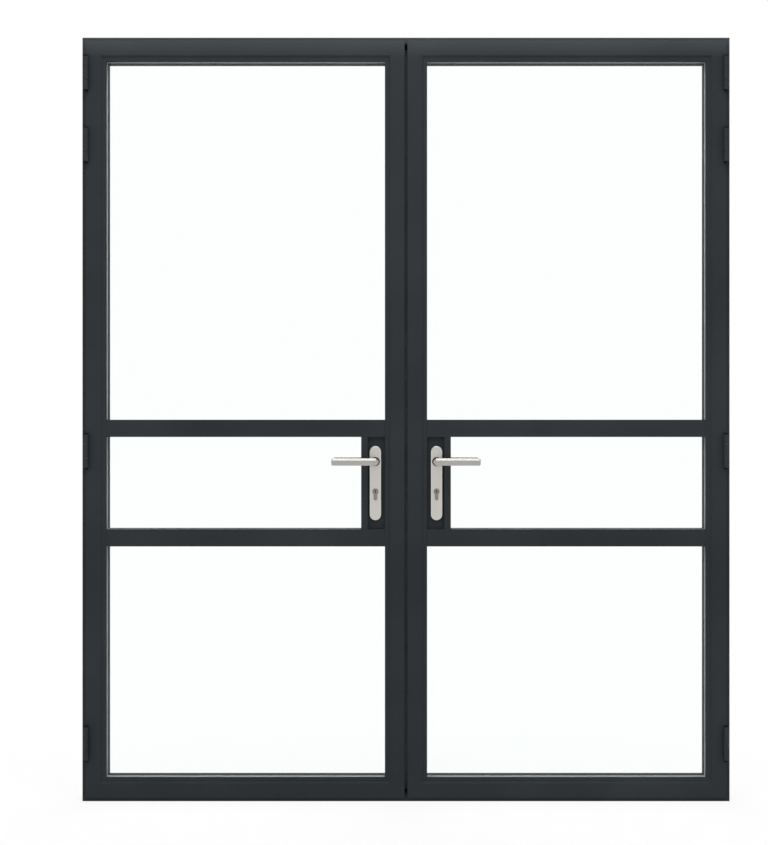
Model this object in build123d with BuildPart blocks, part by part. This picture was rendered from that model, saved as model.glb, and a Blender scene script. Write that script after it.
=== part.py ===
from build123d import *
import os

# Aluminium double doors: two glazed leaves hung in a four-sided frame.
# X runs across the opening, Y through the wall with the outside at -Y, and Z up.
# The origin is the middle of the sill's underside, halfway through the frame.

# Overall size of the frame
OVERALL_WIDTH = 1780.0
OVERALL_HEIGHT = 2100.0

# Frame bar: a tube all round, with a stop behind the leaves
FRAME_FRONT = -35.0
FRAME_BACK = 35.0
FRAME_TUBE = 16.5
FRAME_BREAK = 24.0
STOP_REACH = 36.0
STOP_THICKNESS = 9.0
WALL = 2.0
BREAK_WALL = 2.0
BREAK_INSET = 1.0
FIXING_RADIUS = 4.0
FIXING_FROM_END = 300.0

# Corner cleats inside the frame's outer chambers
CLEAT_LEG = 60.0
CLEAT_CLEARANCE = 0.2

# Leaf bar: a lip over the frame, a raised face, and a lower band beside the glass
LEAF_MARGIN = 9.5
LEAF_FRONT = -42.0
LEAF_BACK = 20.0
LIP_THICKNESS = 5.5
LIP_REACH = 11.5
FACE_WIDTH = 40.5
SIGHT_WIDTH = 56.5
BAND_STEP = 4.0
BAND_THICKNESS = 4.0
LEAF_BREAK = 18.0
EDGE_CHAMFER = 1.0
MITRE_CLEARANCE = 0.05

# Joint between the two leaves
JOINT_GAP = 7.5
MEETING_SIGHT_WIDTH = 54.3
MEETING_BREAK_INSET = 2.0

# Rails across each leaf, and the upright beside the lock
RAIL_HEIGHT = 47.5
UPPER_RAIL_Z = 1025.5
LOWER_RAIL_Z = 724.5
MULLION_WIDTH = 17.9

# Glass units, gaskets and beads
PANE = 4.0
CAVITY = 16.0
GLASS_COVER = 12.0
SPACER_WIDTH = 8.5
SPACER_SET_BACK = 0.5
FRONT_GASKET = 3.0
REAR_GASKET = 4.0
GASKET_WIDTH = 6.0
BEAD_WALL = 1.5

# Seals
STOP_SEAL_INSET = 10.0
STOP_SEAL_WIDTH = 6.0
SEAL_TAPER = 1.0
SEAL_CLEARANCE = 0.3
EDGE_SEAL_INSET = 2.0
EDGE_SEAL_WIDTH = 5.0
MEETING_SEAL_SET_BACK = 2.0
MEETING_SEAL_DEPTH = 6.0
MEETING_SEAL_CLEARANCE = 0.25
MEETING_SEAL_END = 36.0

# Lock panel and lock case
PANEL_SET_BACK = 10.0
PANEL_WALL = 2.0
CASE_THICKNESS = 16.0
CASE_BEHIND_SPINDLE = 16.8
CASE_TO_MULLION = 4.4
CASE_BOTTOM = 790.0
CASE_TOP = 965.0
CASE_CLEARANCE = 0.3
CASE_SPINDLE_SLOT = 13.0
CASE_CYLINDER_SLOT = (19.0, 36.0)
ROUTED_SLOT = (24.0, 820.0, 950.0)
FACEPLATE_THICKNESS = 2.0
FACEPLATE_WIDTH = 20.0
FACEPLATE_OVERHANG = 33.0
LATCH_Z = 940.0
LATCH_SIZE = (40.0, 14.0, 26.0)
LATCH_DRAW = 10.0
LATCH_NOSE = (9.8, 8.4)
DEADBOLT_Z = 886.0
DEADBOLT_SIZE = (44.0, 12.0, 22.0)
DEADBOLT_EDGE = 1.0
BOLT_CLEARANCE = 0.3
POCKET_SPARE = 1.0

# Handles
HANDLE_X = 84.2
PLATE_WIDTH = 32.2
PLATE_HEIGHT = 205.0
PLATE_THICKNESS = 8.0
PLATE_Z = 874.6
LEVER_Z = 934.0
LEVER_LENGTH = 119.0
LEVER_HEEL = 5.5
LEVER_HEIGHT = 20.0
LEVER_DEPTH = 12.0
LEVER_BEVEL = 5.5
LEVER_STAND_OFF = 36.0
LEVER_CORNER = 2.5
NECK_RADIUS = 8.0
NECK_CLEARANCE = 0.1
NECK_TAIL = 4.0
SPINDLE = 8.0
SPINDLE_SOCKET = 24.0
SPINDLE_CLEARANCE = 0.05

# Key cylinders
CYLINDER_Z = 852.0
CYLINDER_RADIUS = 8.5
CYLINDER_TAIL = 10.0
CYLINDER_HEIGHT = 33.0
CYLINDER_PROUD = 3.0
CYLINDER_CLEARANCE = 0.2
PLUG_RADIUS = 6.5
PLUG_CLEARANCE = 0.08
KEYWAY = (2.2, 3.0, 8.5)

# Hinges
HINGE_INSET = 2.5
HINGE_HALF_WIDTH = 7.0
HINGE_CORNER = 4.1
HINGE_LEAF_GAP = 0.8
HINGES_FROM_BOTTOM = (161.0, 963.0)
HINGES_FROM_TOP = (297.0, 100.0)
HINGE_LENGTH = 100.0
LEAF_KNUCKLE = 38.0
KNUCKLE_GAP = 0.5
PIN_RADIUS = 4.0
PIN_CLEARANCE = 0.05
LEAF_FOOT_WIDTH = 8.0
FOOT_CLEARANCE = 0.8
FOOT_PLATE = (6.0, 3.0)

# Shoot bolts at the top and bottom of the left leaf
ROD_RADIUS = 4.0
ROD_CLEARANCE = 0.3
ROD_SET_BACK = 0.5
ROD_GEAR_GAP = 25.0
KEEP_SIZE = (24.0, 17.0, 2.0)
KEEP_CLEARANCE = 0.6
KEEP_SLOT = 12.0

# Sizes worked out from those above
HALF_WIDTH = OVERALL_WIDTH / 2
FRAME_BREAK_FRONT = -FRAME_BREAK / 2
FRAME_BREAK_BACK = FRAME_BREAK / 2
STOP_FRONT = FRAME_BACK - STOP_THICKNESS
LIP_BACK = LEAF_FRONT + LIP_THICKNESS
BAND_FRONT = LEAF_FRONT + BAND_STEP
BAND_BACK = BAND_FRONT + BAND_THICKNESS
LEAF_MIDDLE = (LEAF_FRONT + LEAF_BACK) / 2
LEAF_BREAK_FRONT = LEAF_MIDDLE - LEAF_BREAK / 2
LEAF_BREAK_BACK = LEAF_MIDDLE + LEAF_BREAK / 2
MEETING_RATIO = MEETING_SIGHT_WIDTH / SIGHT_WIDTH
MEETING_FACE = FACE_WIDTH * MEETING_RATIO
BEAD_WIDTH = MEETING_SIGHT_WIDTH - MEETING_FACE
MEETING_LIP = LIP_REACH * MEETING_RATIO

LEAF_NEAR = JOINT_GAP / 2
LEAF_FAR = HALF_WIDTH - LEAF_MARGIN
LEAF_BOTTOM = LEAF_MARGIN
LEAF_TOP = OVERALL_HEIGHT - LEAF_MARGIN
SIGHT_NEAR = LEAF_NEAR + MEETING_SIGHT_WIDTH
SIGHT_FAR = LEAF_FAR - SIGHT_WIDTH
SIGHT_BOTTOM = LEAF_BOTTOM + SIGHT_WIDTH
SIGHT_TOP = LEAF_TOP - SIGHT_WIDTH
BODY_NEAR = LEAF_NEAR + MEETING_FACE
BODY_FAR = LEAF_FAR - FACE_WIDTH
BODY_BOTTOM = LEAF_BOTTOM + LIP_REACH
BODY_TOP = LEAF_TOP - LIP_REACH
RAIL_BODY = RAIL_HEIGHT / 2 - (SIGHT_WIDTH - FACE_WIDTH)
CASE_REACH = HANDLE_X + CASE_BEHIND_SPINDLE
MULLION_NEAR = CASE_REACH + CASE_TO_MULLION
MULLION_FAR = MULLION_NEAR + MULLION_WIDTH
FIXING_HEIGHTS = (FIXING_FROM_END, OVERALL_HEIGHT - FIXING_FROM_END)

GLASS_FRONT = BAND_BACK + FRONT_GASKET
GLASS_BACK = GLASS_FRONT + PANE + CAVITY + PANE
BEAD_FRONT = GLASS_BACK + REAR_GASKET

PANEL_FRONT = BAND_FRONT + PANEL_SET_BACK
PLATE_FRONT = PANEL_FRONT - PLATE_THICKNESS
PLATE_BACK = LEAF_BACK + PLATE_THICKNESS
FACEPLATE_NEAR = LEAF_NEAR - FACEPLATE_THICKNESS
HINGE_X = LEAF_FAR - HINGE_INSET
HINGE_HEIGHTS = (*HINGES_FROM_BOTTOM, *(OVERALL_HEIGHT - drop for drop in HINGES_FROM_TOP))
HINGE_Y = LEAF_FRONT - HINGE_LEAF_GAP - HINGE_HALF_WIDTH
ROD_X = LEAF_NEAR + WALL + ROD_CLEARANCE + ROD_RADIUS
ROD_Y = LEAF_BREAK_FRONT - WALL - ROD_CLEARANCE - ROD_RADIUS

# Each glazed opening of the right leaf, between its sight edges: x0, x1, z0, z1
RAIL_HALF = RAIL_HEIGHT / 2
GLAZED = {
    "upper": (SIGHT_NEAR, SIGHT_FAR, UPPER_RAIL_Z + RAIL_HALF, SIGHT_TOP),
    "middle": (MULLION_FAR, SIGHT_FAR, LOWER_RAIL_Z + RAIL_HALF, UPPER_RAIL_Z - RAIL_HALF),
    "lower": (SIGHT_NEAR, SIGHT_FAR, SIGHT_BOTTOM, LOWER_RAIL_Z - RAIL_HALF),
}

os.makedirs("parts", exist_ok=True)


def finish(piece, name):
    """Label a finished piece and write it as one STEP file."""
    piece.part.label = name
    export_step(piece.part, f"parts/{name}.step")


def face_between(x0, x1, y0, y1, mode=Mode.ADD):
    """A rectangle of the open sketch, given by its sides."""
    with Locations(((x0 + x1) / 2, (y0 + y1) / 2)):
        Rectangle(x1 - x0, y1 - y0, mode=mode)


def box_between(x0, x1, y0, y1, z0, z1, mode=Mode.ADD):
    """A box of the open part, given by its sides."""
    with Locations(((x0 + x1) / 2, (y0 + y1) / 2, (z0 + z1) / 2)):
        Box(x1 - x0, y1 - y0, z1 - z0, mode=mode)


def upright(x, y, z0, z1, radius, mode=Mode.ADD):
    """A vertical cylinder of the open part."""
    with Locations((x, y, (z0 + z1) / 2)):
        Cylinder(radius, z1 - z0, mode=mode)


def through(x, z, y0, y1, radius, mode=Mode.ADD):
    """A cylinder of the open part that runs through the wall, along Y."""
    with Locations(Location((x, (y0 + y1) / 2, z), (90, 0, 0))):
        Cylinder(radius, y1 - y0, mode=mode)


def bar_runs(x0, x1, z0, z1):
    """The plane and length of each bar round a rectangle; local x runs inwards, local y is Y."""
    height = z1 - z0
    width = x1 - x0
    return {
        "near": (Plane(origin=(x0, 0, z0), x_dir=(1, 0, 0), z_dir=(0, 0, 1)), height),
        "top": (Plane(origin=(x0, 0, z1), x_dir=(0, 0, -1), z_dir=(1, 0, 0)), width),
        "far": (Plane(origin=(x1, 0, z1), x_dir=(-1, 0, 0), z_dir=(0, 0, -1)), height),
        "bottom": (Plane(origin=(x1, 0, z0), x_dir=(0, 0, 1), z_dir=(-1, 0, 0)), width),
    }


def mitred_bar(section, run, own=1.0, first=1.0, last=1.0, clearance=0.0):
    """One bar of a rectangle, cut at both ends on the line from outer to inner corner."""
    plane, length = run
    across = Vector(*plane.x_dir)
    along = Vector(*plane.z_dir)
    start = Vector(*plane.origin) + along * clearance
    end = start + along * (length - 2 * clearance)
    with BuildPart() as bar:
        with BuildSketch(plane):
            add(section)
        extrude(amount=length)
        split(bisect_by=Plane(origin=start, z_dir=along * own - across * first), keep=Keep.TOP)
        split(bisect_by=Plane(origin=end, z_dir=along * -own - across * last), keep=Keep.TOP)
    return bar.part


def frame_section():
    """The frame bar's outer and inner aluminium shells."""
    with BuildSketch() as section:
        face_between(0, FRAME_TUBE, FRAME_FRONT, FRAME_BREAK_FRONT)
        face_between(0, FRAME_TUBE, FRAME_BREAK_BACK, FRAME_BACK)
        face_between(FRAME_TUBE, STOP_REACH, STOP_FRONT, FRAME_BACK)
        inside = FRAME_TUBE - WALL
        front, back = FRAME_FRONT + WALL, FRAME_BACK - WALL
        face_between(WALL, inside, front, FRAME_BREAK_FRONT - WALL, Mode.SUBTRACT)
        face_between(WALL, inside, FRAME_BREAK_BACK + WALL, back, Mode.SUBTRACT)
        face_between(FRAME_TUBE, STOP_REACH - WALL, STOP_FRONT + WALL, back, Mode.SUBTRACT)
    return section.sketch


def seal_section(x0, x1, y0, y1):
    """A tapered sealing strip, from its root at y0 to its lip at y1."""
    with BuildSketch() as section:
        with BuildLine():
            Polyline((x0, y0), (x0 + SEAL_TAPER, y1), (x1 - SEAL_TAPER, y1), (x1, y0), close=True)
        make_face()
    return section.sketch


def bead_section():
    """A thin tubular glazing bead."""
    with BuildSketch() as section:
        face_between(0, BEAD_WIDTH, BEAD_FRONT, LEAF_BACK)
        near, far = BEAD_WALL, BEAD_WIDTH - BEAD_WALL
        face_between(near, far, BEAD_FRONT + BEAD_WALL, LEAF_BACK - BEAD_WALL, Mode.SUBTRACT)
    return section.sketch


def break_section(x0, x1, y0, y1):
    """Two thin strips that hold an outer shell and an inner shell apart."""
    with BuildSketch() as section:
        face_between(x0, x0 + BREAK_WALL, y0, y1)
        face_between(x1 - BREAK_WALL, x1, y0, y1)
    return section.sketch


def leaf_section(ratio=1.0, lip=LIP_REACH):
    """The leaf bar's outer and inner shells; ratio narrows the bar at the meeting joint."""
    face = FACE_WIDTH * ratio
    sight = SIGHT_WIDTH * ratio
    edge = EDGE_CHAMFER
    with BuildSketch() as section:
        with BuildLine():
            Polyline(
                (0, LIP_BACK),
                (0, LEAF_FRONT + edge),
                (edge, LEAF_FRONT),
                (face - edge, LEAF_FRONT),
                (face, LEAF_FRONT + edge),
                (face, BAND_FRONT),
                (sight - edge, BAND_FRONT),
                (sight, BAND_FRONT + edge),
                (sight, BAND_BACK),
                (face, BAND_BACK),
                (face, LIP_BACK),
                close=True,
            )
        make_face()
        face_between(lip, face, LIP_BACK, LEAF_BREAK_FRONT)
        face_between(lip, face, LEAF_BREAK_BACK, LEAF_BACK)
        front, middle = LEAF_FRONT + WALL, LEAF_BREAK_FRONT - WALL
        face_between(lip + WALL, face - WALL, front, middle, Mode.SUBTRACT)
        back = LEAF_BACK - WALL
        face_between(lip + WALL, face - WALL, LEAF_BREAK_BACK + WALL, back, Mode.SUBTRACT)
    return section.sketch


def rail_shells(z):
    """One rail across the leaf: a T behind a flat face, and a tube inside the thermal break."""
    section_plane = Plane(origin=(BODY_NEAR, 0, z), x_dir=(0, 0, -1), z_dir=(1, 0, 0))
    with BuildPart() as rail:
        with BuildSketch(section_plane):
            face_between(-RAIL_BODY, RAIL_BODY, BAND_BACK, LEAF_BREAK_FRONT)
            face_between(-RAIL_BODY, RAIL_BODY, LEAF_BREAK_BACK, LEAF_BACK)
            inside = RAIL_BODY - WALL
            face_between(-inside, inside, BAND_BACK, LEAF_BREAK_FRONT - WALL, Mode.SUBTRACT)
            face_between(-inside, inside, LEAF_BREAK_BACK + WALL, LEAF_BACK - WALL, Mode.SUBTRACT)
        extrude(amount=BODY_FAR - BODY_NEAR)
        box_between(SIGHT_NEAR, SIGHT_FAR, BAND_FRONT, BAND_BACK, z - RAIL_HALF, z + RAIL_HALF)
    return rail.part


def ring(rectangle, outset, inset, y0, y1):
    """A closed rectangular ring about a glazed opening, in the open part."""
    x0, x1, z0, z1 = rectangle
    width, height = x1 - x0, z1 - z0
    middle = ((x0 + x1) / 2, (y0 + y1) / 2, (z0 + z1) / 2)
    with Locations(middle):
        Box(width + 2 * outset, y1 - y0, height + 2 * outset)
        Box(width + 2 * inset, y1 - y0, height + 2 * inset, mode=Mode.SUBTRACT)


def cylinder_outline(grow=0.0):
    """The profile cylinder's outline about its own axis: a round barrel with a narrow tail."""
    tail_end = CYLINDER_HEIGHT - CYLINDER_RADIUS
    half_tail = CYLINDER_TAIL / 2
    with BuildSketch() as outline:
        Circle(CYLINDER_RADIUS + grow)
        with Locations((0, -(tail_end - half_tail) / 2)):
            Rectangle(CYLINDER_TAIL + 2 * grow, tail_end - half_tail)
        with Locations((0, -(tail_end - half_tail))):
            Circle(half_tail + grow)
    return outline.sketch


def cylinder_plane(y):
    """The plane that the key cylinder's outline is drawn on, facing outside."""
    return Plane(origin=(HANDLE_X, y, CYLINDER_Z), x_dir=(1, 0, 0), z_dir=(0, -1, 0))


# Frame: four mitred bars, each an outer and an inner shell

frame_runs = bar_runs(-HALF_WIDTH, HALF_WIDTH, 0, OVERALL_HEIGHT)
FIXING_Y = (FRAME_BREAK_BACK + FRAME_BACK) / 2

for name, side, sign in (("left", "near", -1), ("right", "far", 1)):
    with BuildPart() as jamb:
        add(mitred_bar(frame_section(), frame_runs[side]))
        for height in FIXING_HEIGHTS:
            with Locations(Location((sign * HALF_WIDTH, FIXING_Y, height), (0, 90, 0))):
                Cylinder(FIXING_RADIUS, 2 * FRAME_TUBE + WALL, mode=Mode.SUBTRACT)
    finish(jamb, f"frame_{name}_jamb")

# Each shoot bolt passes a keep plate and then a slot in the frame bar behind it
SOFFIT = OVERALL_HEIGHT - FRAME_TUBE
slot_x = (-ROD_X - KEEP_SLOT / 2, -ROD_X + KEEP_SLOT / 2)
slot_y = (ROD_Y - KEEP_SLOT / 2, ROD_Y + KEEP_SLOT / 2)

with BuildPart() as head:
    add(mitred_bar(frame_section(), frame_runs["top"]))
    box_between(*slot_x, *slot_y, SOFFIT, SOFFIT + WALL, Mode.SUBTRACT)
finish(head, "frame_head")

with BuildPart() as sill:
    add(mitred_bar(frame_section(), frame_runs["bottom"]))
    box_between(*slot_x, *slot_y, FRAME_TUBE - WALL, FRAME_TUBE, Mode.SUBTRACT)
finish(sill, "frame_sill")

with BuildPart() as frame_thermal_breaks:
    far = FRAME_TUBE - BREAK_INSET
    strips = break_section(0, far, FRAME_BREAK_FRONT, FRAME_BREAK_BACK)
    for run in frame_runs.values():
        add(mitred_bar(strips, run, clearance=MITRE_CLEARANCE))
finish(frame_thermal_breaks, "frame_thermal_breaks")

with BuildPart() as frame_stop_seal:
    near = STOP_REACH - STOP_SEAL_INSET
    lip = LEAF_BACK + SEAL_CLEARANCE
    strip = seal_section(near, near + STOP_SEAL_WIDTH, STOP_FRONT, lip)
    for run in frame_runs.values():
        add(mitred_bar(strip, run, clearance=MITRE_CLEARANCE))
finish(frame_stop_seal, "frame_stop_seal")

with BuildPart() as frame_corner_cleats:
    near = WALL + CLEAT_CLEARANCE
    reach = FRAME_TUBE - WALL - CLEAT_CLEARANCE
    tip = near + CLEAT_LEG
    front = FRAME_FRONT + WALL + CLEAT_CLEARANCE
    back = FRAME_BREAK_FRONT - WALL - CLEAT_CLEARANCE
    for z_edge, up in ((0, 1), (OVERALL_HEIGHT, -1)):
        plane = Plane(origin=(-HALF_WIDTH, back, z_edge), x_dir=(1, 0, 0), z_dir=(0, -1, 0))
        with BuildSketch(plane):
            with BuildLine():
                Polyline(
                    (near, up * near),
                    (tip, up * near),
                    (tip, up * reach),
                    (reach, up * reach),
                    (reach, up * tip),
                    (near, up * tip),
                    close=True,
                )
            make_face()
        extrude(amount=back - front)
    mirror(about=Plane.YZ)
finish(frame_corner_cleats, "frame_corner_cleats")

# Hinges: the frame's knuckles stand above and below the leaf's, with a pin between them

half_leaf_knuckle = LEAF_KNUCKLE / 2
knuckle_start = half_leaf_knuckle + KNUCKLE_GAP
knuckle_end = HINGE_LENGTH / 2
foot_x = LEAF_FAR + FOOT_CLEARANCE


def knuckle_section(foot_left, foot_right, foot_back):
    """A squared barrel with its corners cut back, on a foot that runs to the profile behind."""
    half, corner = HINGE_HALF_WIDTH, HINGE_CORNER
    with BuildSketch() as section:
        with Locations((HINGE_X, HINGE_Y)):
            Rectangle(2 * half, 2 * half)
        chamfer(section.vertices(), corner)
        face_between(foot_left, foot_right, HINGE_Y, foot_back)
    return section.sketch


with BuildPart() as frame_hinge_halves:
    knuckle = knuckle_section(foot_x, HINGE_X + HINGE_HALF_WIDTH, FRAME_FRONT)
    for z in HINGE_HEIGHTS:
        for low in (z - knuckle_end, z + knuckle_start):
            with BuildSketch(Plane.XY.offset(low)):
                add(knuckle)
            extrude(amount=knuckle_end - knuckle_start)
        plate_end = foot_x + FOOT_PLATE[0]
        plate_front = FRAME_FRONT - FOOT_PLATE[1]
        box_between(foot_x, plate_end, plate_front, FRAME_FRONT, z - knuckle_end, z + knuckle_end)
    mirror(about=Plane.YZ)
finish(frame_hinge_halves, "frame_hinge_halves")

with BuildPart() as hinge_pins:
    for z in HINGE_HEIGHTS:
        upright(HINGE_X, HINGE_Y, z - knuckle_start, z + knuckle_start, PIN_RADIUS)
    mirror(about=Plane.YZ)
finish(hinge_pins, "hinge_pins")

with BuildPart() as bolt_keeps:
    length, width, thickness = KEEP_SIZE
    for low in (FRAME_TUBE, SOFFIT - thickness):
        high = low + thickness
        box_between(-LEAF_NEAR - length, -LEAF_NEAR, FRAME_FRONT, FRAME_FRONT + width, low, high)
        upright(-ROD_X, ROD_Y, low, high, ROD_RADIUS + KEEP_CLEARANCE, Mode.SUBTRACT)
finish(bolt_keeps, "bolt_keeps")


# Leaves: each builder below makes one piece of the right leaf, and the left is its mirror image

leaf_runs = bar_runs(LEAF_NEAR, LEAF_FAR, LEAF_BOTTOM, LEAF_TOP)


# How wide each bar is at its own corners and at those of its neighbours, for the mitre lines
MITRES = {
    "near": (MEETING_SIGHT_WIDTH, SIGHT_WIDTH, SIGHT_WIDTH),
    "top": (SIGHT_WIDTH, MEETING_SIGHT_WIDTH, SIGHT_WIDTH),
    "far": (SIGHT_WIDTH, SIGHT_WIDTH, SIGHT_WIDTH),
    "bottom": (SIGHT_WIDTH, SIGHT_WIDTH, MEETING_SIGHT_WIDTH),
}


def leaf_bar(side):
    """A mitred bar of the leaf with a lip over the frame."""
    with BuildPart() as piece:
        add(mitred_bar(leaf_section(), leaf_runs[side], *MITRES[side]))
    return piece


def hinge_stile():
    return leaf_bar("far")


def top_rail():
    return leaf_bar("top")


def bottom_rail():
    return leaf_bar("bottom")


def square_ends():
    """Cut the meeting stile's body back so that only its face passes over the frame."""
    lip_end = LEAF_NEAR + MEETING_LIP
    for low, high in ((LEAF_BOTTOM, BODY_BOTTOM), (BODY_TOP, LEAF_TOP)):
        box_between(LEAF_NEAR, lip_end, LIP_BACK, LEAF_BACK, low, high, Mode.SUBTRACT)


def meeting_stile():
    with BuildPart() as piece:
        add(mitred_bar(leaf_section(MEETING_RATIO, 0.0), leaf_runs["near"], *MITRES["near"]))
        square_ends()
    return piece


def mid_rails():
    with BuildPart() as piece:
        add(rail_shells(UPPER_RAIL_Z))
        add(rail_shells(LOWER_RAIL_Z))
    return piece


PANEL_BOTTOM = LOWER_RAIL_Z + RAIL_BODY
PANEL_TOP = UPPER_RAIL_Z - RAIL_BODY


def lock_mullion():
    """The upright beside the lock: a face over the glass, on a web against the lock panel."""
    with BuildPart() as piece:
        low, high = LOWER_RAIL_Z + RAIL_HALF, UPPER_RAIL_Z - RAIL_HALF
        box_between(MULLION_NEAR, MULLION_FAR, BAND_FRONT, BAND_BACK, low, high)
        web = MULLION_FAR - BEAD_WIDTH
        box_between(MULLION_NEAR, web, BAND_BACK, LEAF_BACK, PANEL_BOTTOM, PANEL_TOP)
    return piece


def lock_panel():
    """The hollow panel that holds the lock case, slotted on both faces for lever and cylinder."""
    with BuildPart() as piece:
        box_between(BODY_NEAR, MULLION_NEAR, PANEL_FRONT, LEAF_BACK, PANEL_BOTTOM, PANEL_TOP)
        near, far = BODY_NEAR + PANEL_WALL, MULLION_NEAR - PANEL_WALL
        front, back = PANEL_FRONT + PANEL_WALL, LEAF_BACK - PANEL_WALL
        low, high = PANEL_BOTTOM + PANEL_WALL, PANEL_TOP - PANEL_WALL
        box_between(near, far, front, back, low, high, Mode.SUBTRACT)
        slot = CASE_THICKNESS / 2 + CASE_CLEARANCE
        bottom, top = CASE_BOTTOM - CASE_CLEARANCE, CASE_TOP + CASE_CLEARANCE
        box_between(BODY_NEAR, near, LEAF_MIDDLE - slot, LEAF_MIDDLE + slot, bottom, top, Mode.SUBTRACT)
        width, low, high = ROUTED_SLOT
        x0, x1 = HANDLE_X - width / 2, HANDLE_X + width / 2
        box_between(x0, x1, PANEL_FRONT, LEAF_BACK, low, high, Mode.SUBTRACT)
    return piece


def meeting_breaks():
    """The meeting stile's strips, cut away behind its ends and where the lock case stands."""
    with BuildPart() as piece:
        far = MEETING_FACE - BREAK_INSET
        strips = break_section(MEETING_BREAK_INSET, far, LEAF_BREAK_FRONT, LEAF_BREAK_BACK)
        add(mitred_bar(strips, leaf_runs["near"], *MITRES["near"], clearance=MITRE_CLEARANCE))
        square_ends()
        low, high = CASE_BOTTOM - CASE_CLEARANCE, CASE_TOP + CASE_CLEARANCE
        y0, y1 = LEAF_BREAK_FRONT, LEAF_BREAK_BACK
        box_between(LEAF_NEAR, BODY_NEAR, y0, y1, low, high, Mode.SUBTRACT)
    return piece.part


def leaf_thermal_breaks():
    with BuildPart() as piece:
        near, far = LIP_REACH + BREAK_INSET, FACE_WIDTH - BREAK_INSET
        strips = break_section(near, far, LEAF_BREAK_FRONT, LEAF_BREAK_BACK)
        for side in ("top", "far", "bottom"):
            add(mitred_bar(strips, leaf_runs[side], *MITRES[side], clearance=MITRE_CLEARANCE))
        add(meeting_breaks())
        for z in (UPPER_RAIL_Z, LOWER_RAIL_Z):
            plane = Plane(origin=(BODY_NEAR, 0, z), x_dir=(0, 0, -1), z_dir=(1, 0, 0))
            edge = RAIL_BODY - BREAK_INSET
            with BuildSketch(plane):
                add(break_section(-edge, edge, LEAF_BREAK_FRONT, LEAF_BREAK_BACK))
            extrude(amount=BODY_FAR - BODY_NEAR)
    return piece


def glass_panes():
    with BuildPart() as piece:
        for x0, x1, z0, z1 in GLAZED.values():
            low_x, high_x = x0 - GLASS_COVER, x1 + GLASS_COVER
            low_z, high_z = z0 - GLASS_COVER, z1 + GLASS_COVER
            box_between(low_x, high_x, GLASS_FRONT, GLASS_FRONT + PANE, low_z, high_z)
            box_between(low_x, high_x, GLASS_BACK - PANE, GLASS_BACK, low_z, high_z)
    return piece


def glass_spacers():
    with BuildPart() as piece:
        for rectangle in GLAZED.values():
            outset = SPACER_WIDTH + SPACER_SET_BACK
            ring(rectangle, outset, SPACER_SET_BACK, GLASS_FRONT + PANE, GLASS_BACK - PANE)
    return piece


def glazing_beads():
    """Snap-in beads behind the glass, each a thin tube mitred at its ends."""
    with BuildPart() as piece:
        for x0, x1, z0, z1 in GLAZED.values():
            runs = bar_runs(x0 - BEAD_WIDTH, x1 + BEAD_WIDTH, z0 - BEAD_WIDTH, z1 + BEAD_WIDTH)
            for run in runs.values():
                add(mitred_bar(bead_section(), run, clearance=MITRE_CLEARANCE))
    return piece


def panel_gasket():
    """The gasket on three sides of the lock panel, behind the bands round its recess."""
    with BuildPart() as piece:
        z0, z1 = LOWER_RAIL_Z + RAIL_HALF, UPPER_RAIL_Z - RAIL_HALF
        near, low, high = SIGHT_NEAR - GASKET_WIDTH, z0 - GASKET_WIDTH, z1 + GASKET_WIDTH
        box_between(near, MULLION_NEAR, BAND_BACK, PANEL_FRONT, low, high)
        box_between(SIGHT_NEAR, MULLION_NEAR, BAND_BACK, PANEL_FRONT, z0, z1, Mode.SUBTRACT)
    return piece.part


def glazing_gaskets():
    with BuildPart() as piece:
        for rectangle in GLAZED.values():
            ring(rectangle, GASKET_WIDTH, 0, BAND_BACK, GLASS_FRONT)
            ring(rectangle, GASKET_WIDTH, 0, GLASS_BACK, BEAD_FRONT)
        add(panel_gasket())
    return piece


def meeting_seal():
    """The lip seal that closes half of the joint between the leaves."""
    with BuildPart() as piece:
        front = LEAF_FRONT + MEETING_SEAL_SET_BACK
        back = front + MEETING_SEAL_DEPTH
        with BuildSketch(Plane.XY.offset(MEETING_SEAL_END)):
            with BuildLine():
                Polyline(
                    (LEAF_NEAR, front),
                    (MEETING_SEAL_CLEARANCE, front + SEAL_TAPER),
                    (MEETING_SEAL_CLEARANCE, back - SEAL_TAPER),
                    (LEAF_NEAR, back),
                    close=True,
                )
            make_face()
        extrude(amount=OVERALL_HEIGHT - 2 * MEETING_SEAL_END)
    return piece.part


def leaf_seals():
    """A seal behind the lip on three sides, and the lip seal of the meeting joint."""
    with BuildPart() as piece:
        far = EDGE_SEAL_INSET + EDGE_SEAL_WIDTH
        strip = seal_section(EDGE_SEAL_INSET, far, LIP_BACK, FRAME_FRONT - SEAL_CLEARANCE)
        for side in ("top", "far", "bottom"):
            add(mitred_bar(strip, leaf_runs[side], *MITRES[side], clearance=MITRE_CLEARANCE))
        add(meeting_seal())
    return piece


def leaf_hinge_halves():
    with BuildPart() as piece:
        left = HINGE_X - HINGE_HALF_WIDTH
        knuckle = knuckle_section(left, left + LEAF_FOOT_WIDTH, LEAF_FRONT)
        for z in HINGE_HEIGHTS:
            low, high = z - half_leaf_knuckle, z + half_leaf_knuckle
            with BuildSketch(Plane.XY.offset(low)):
                add(knuckle)
            extrude(amount=LEAF_KNUCKLE)
            upright(HINGE_X, HINGE_Y, low, high, PIN_RADIUS + PIN_CLEARANCE, Mode.SUBTRACT)
    return piece


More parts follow.
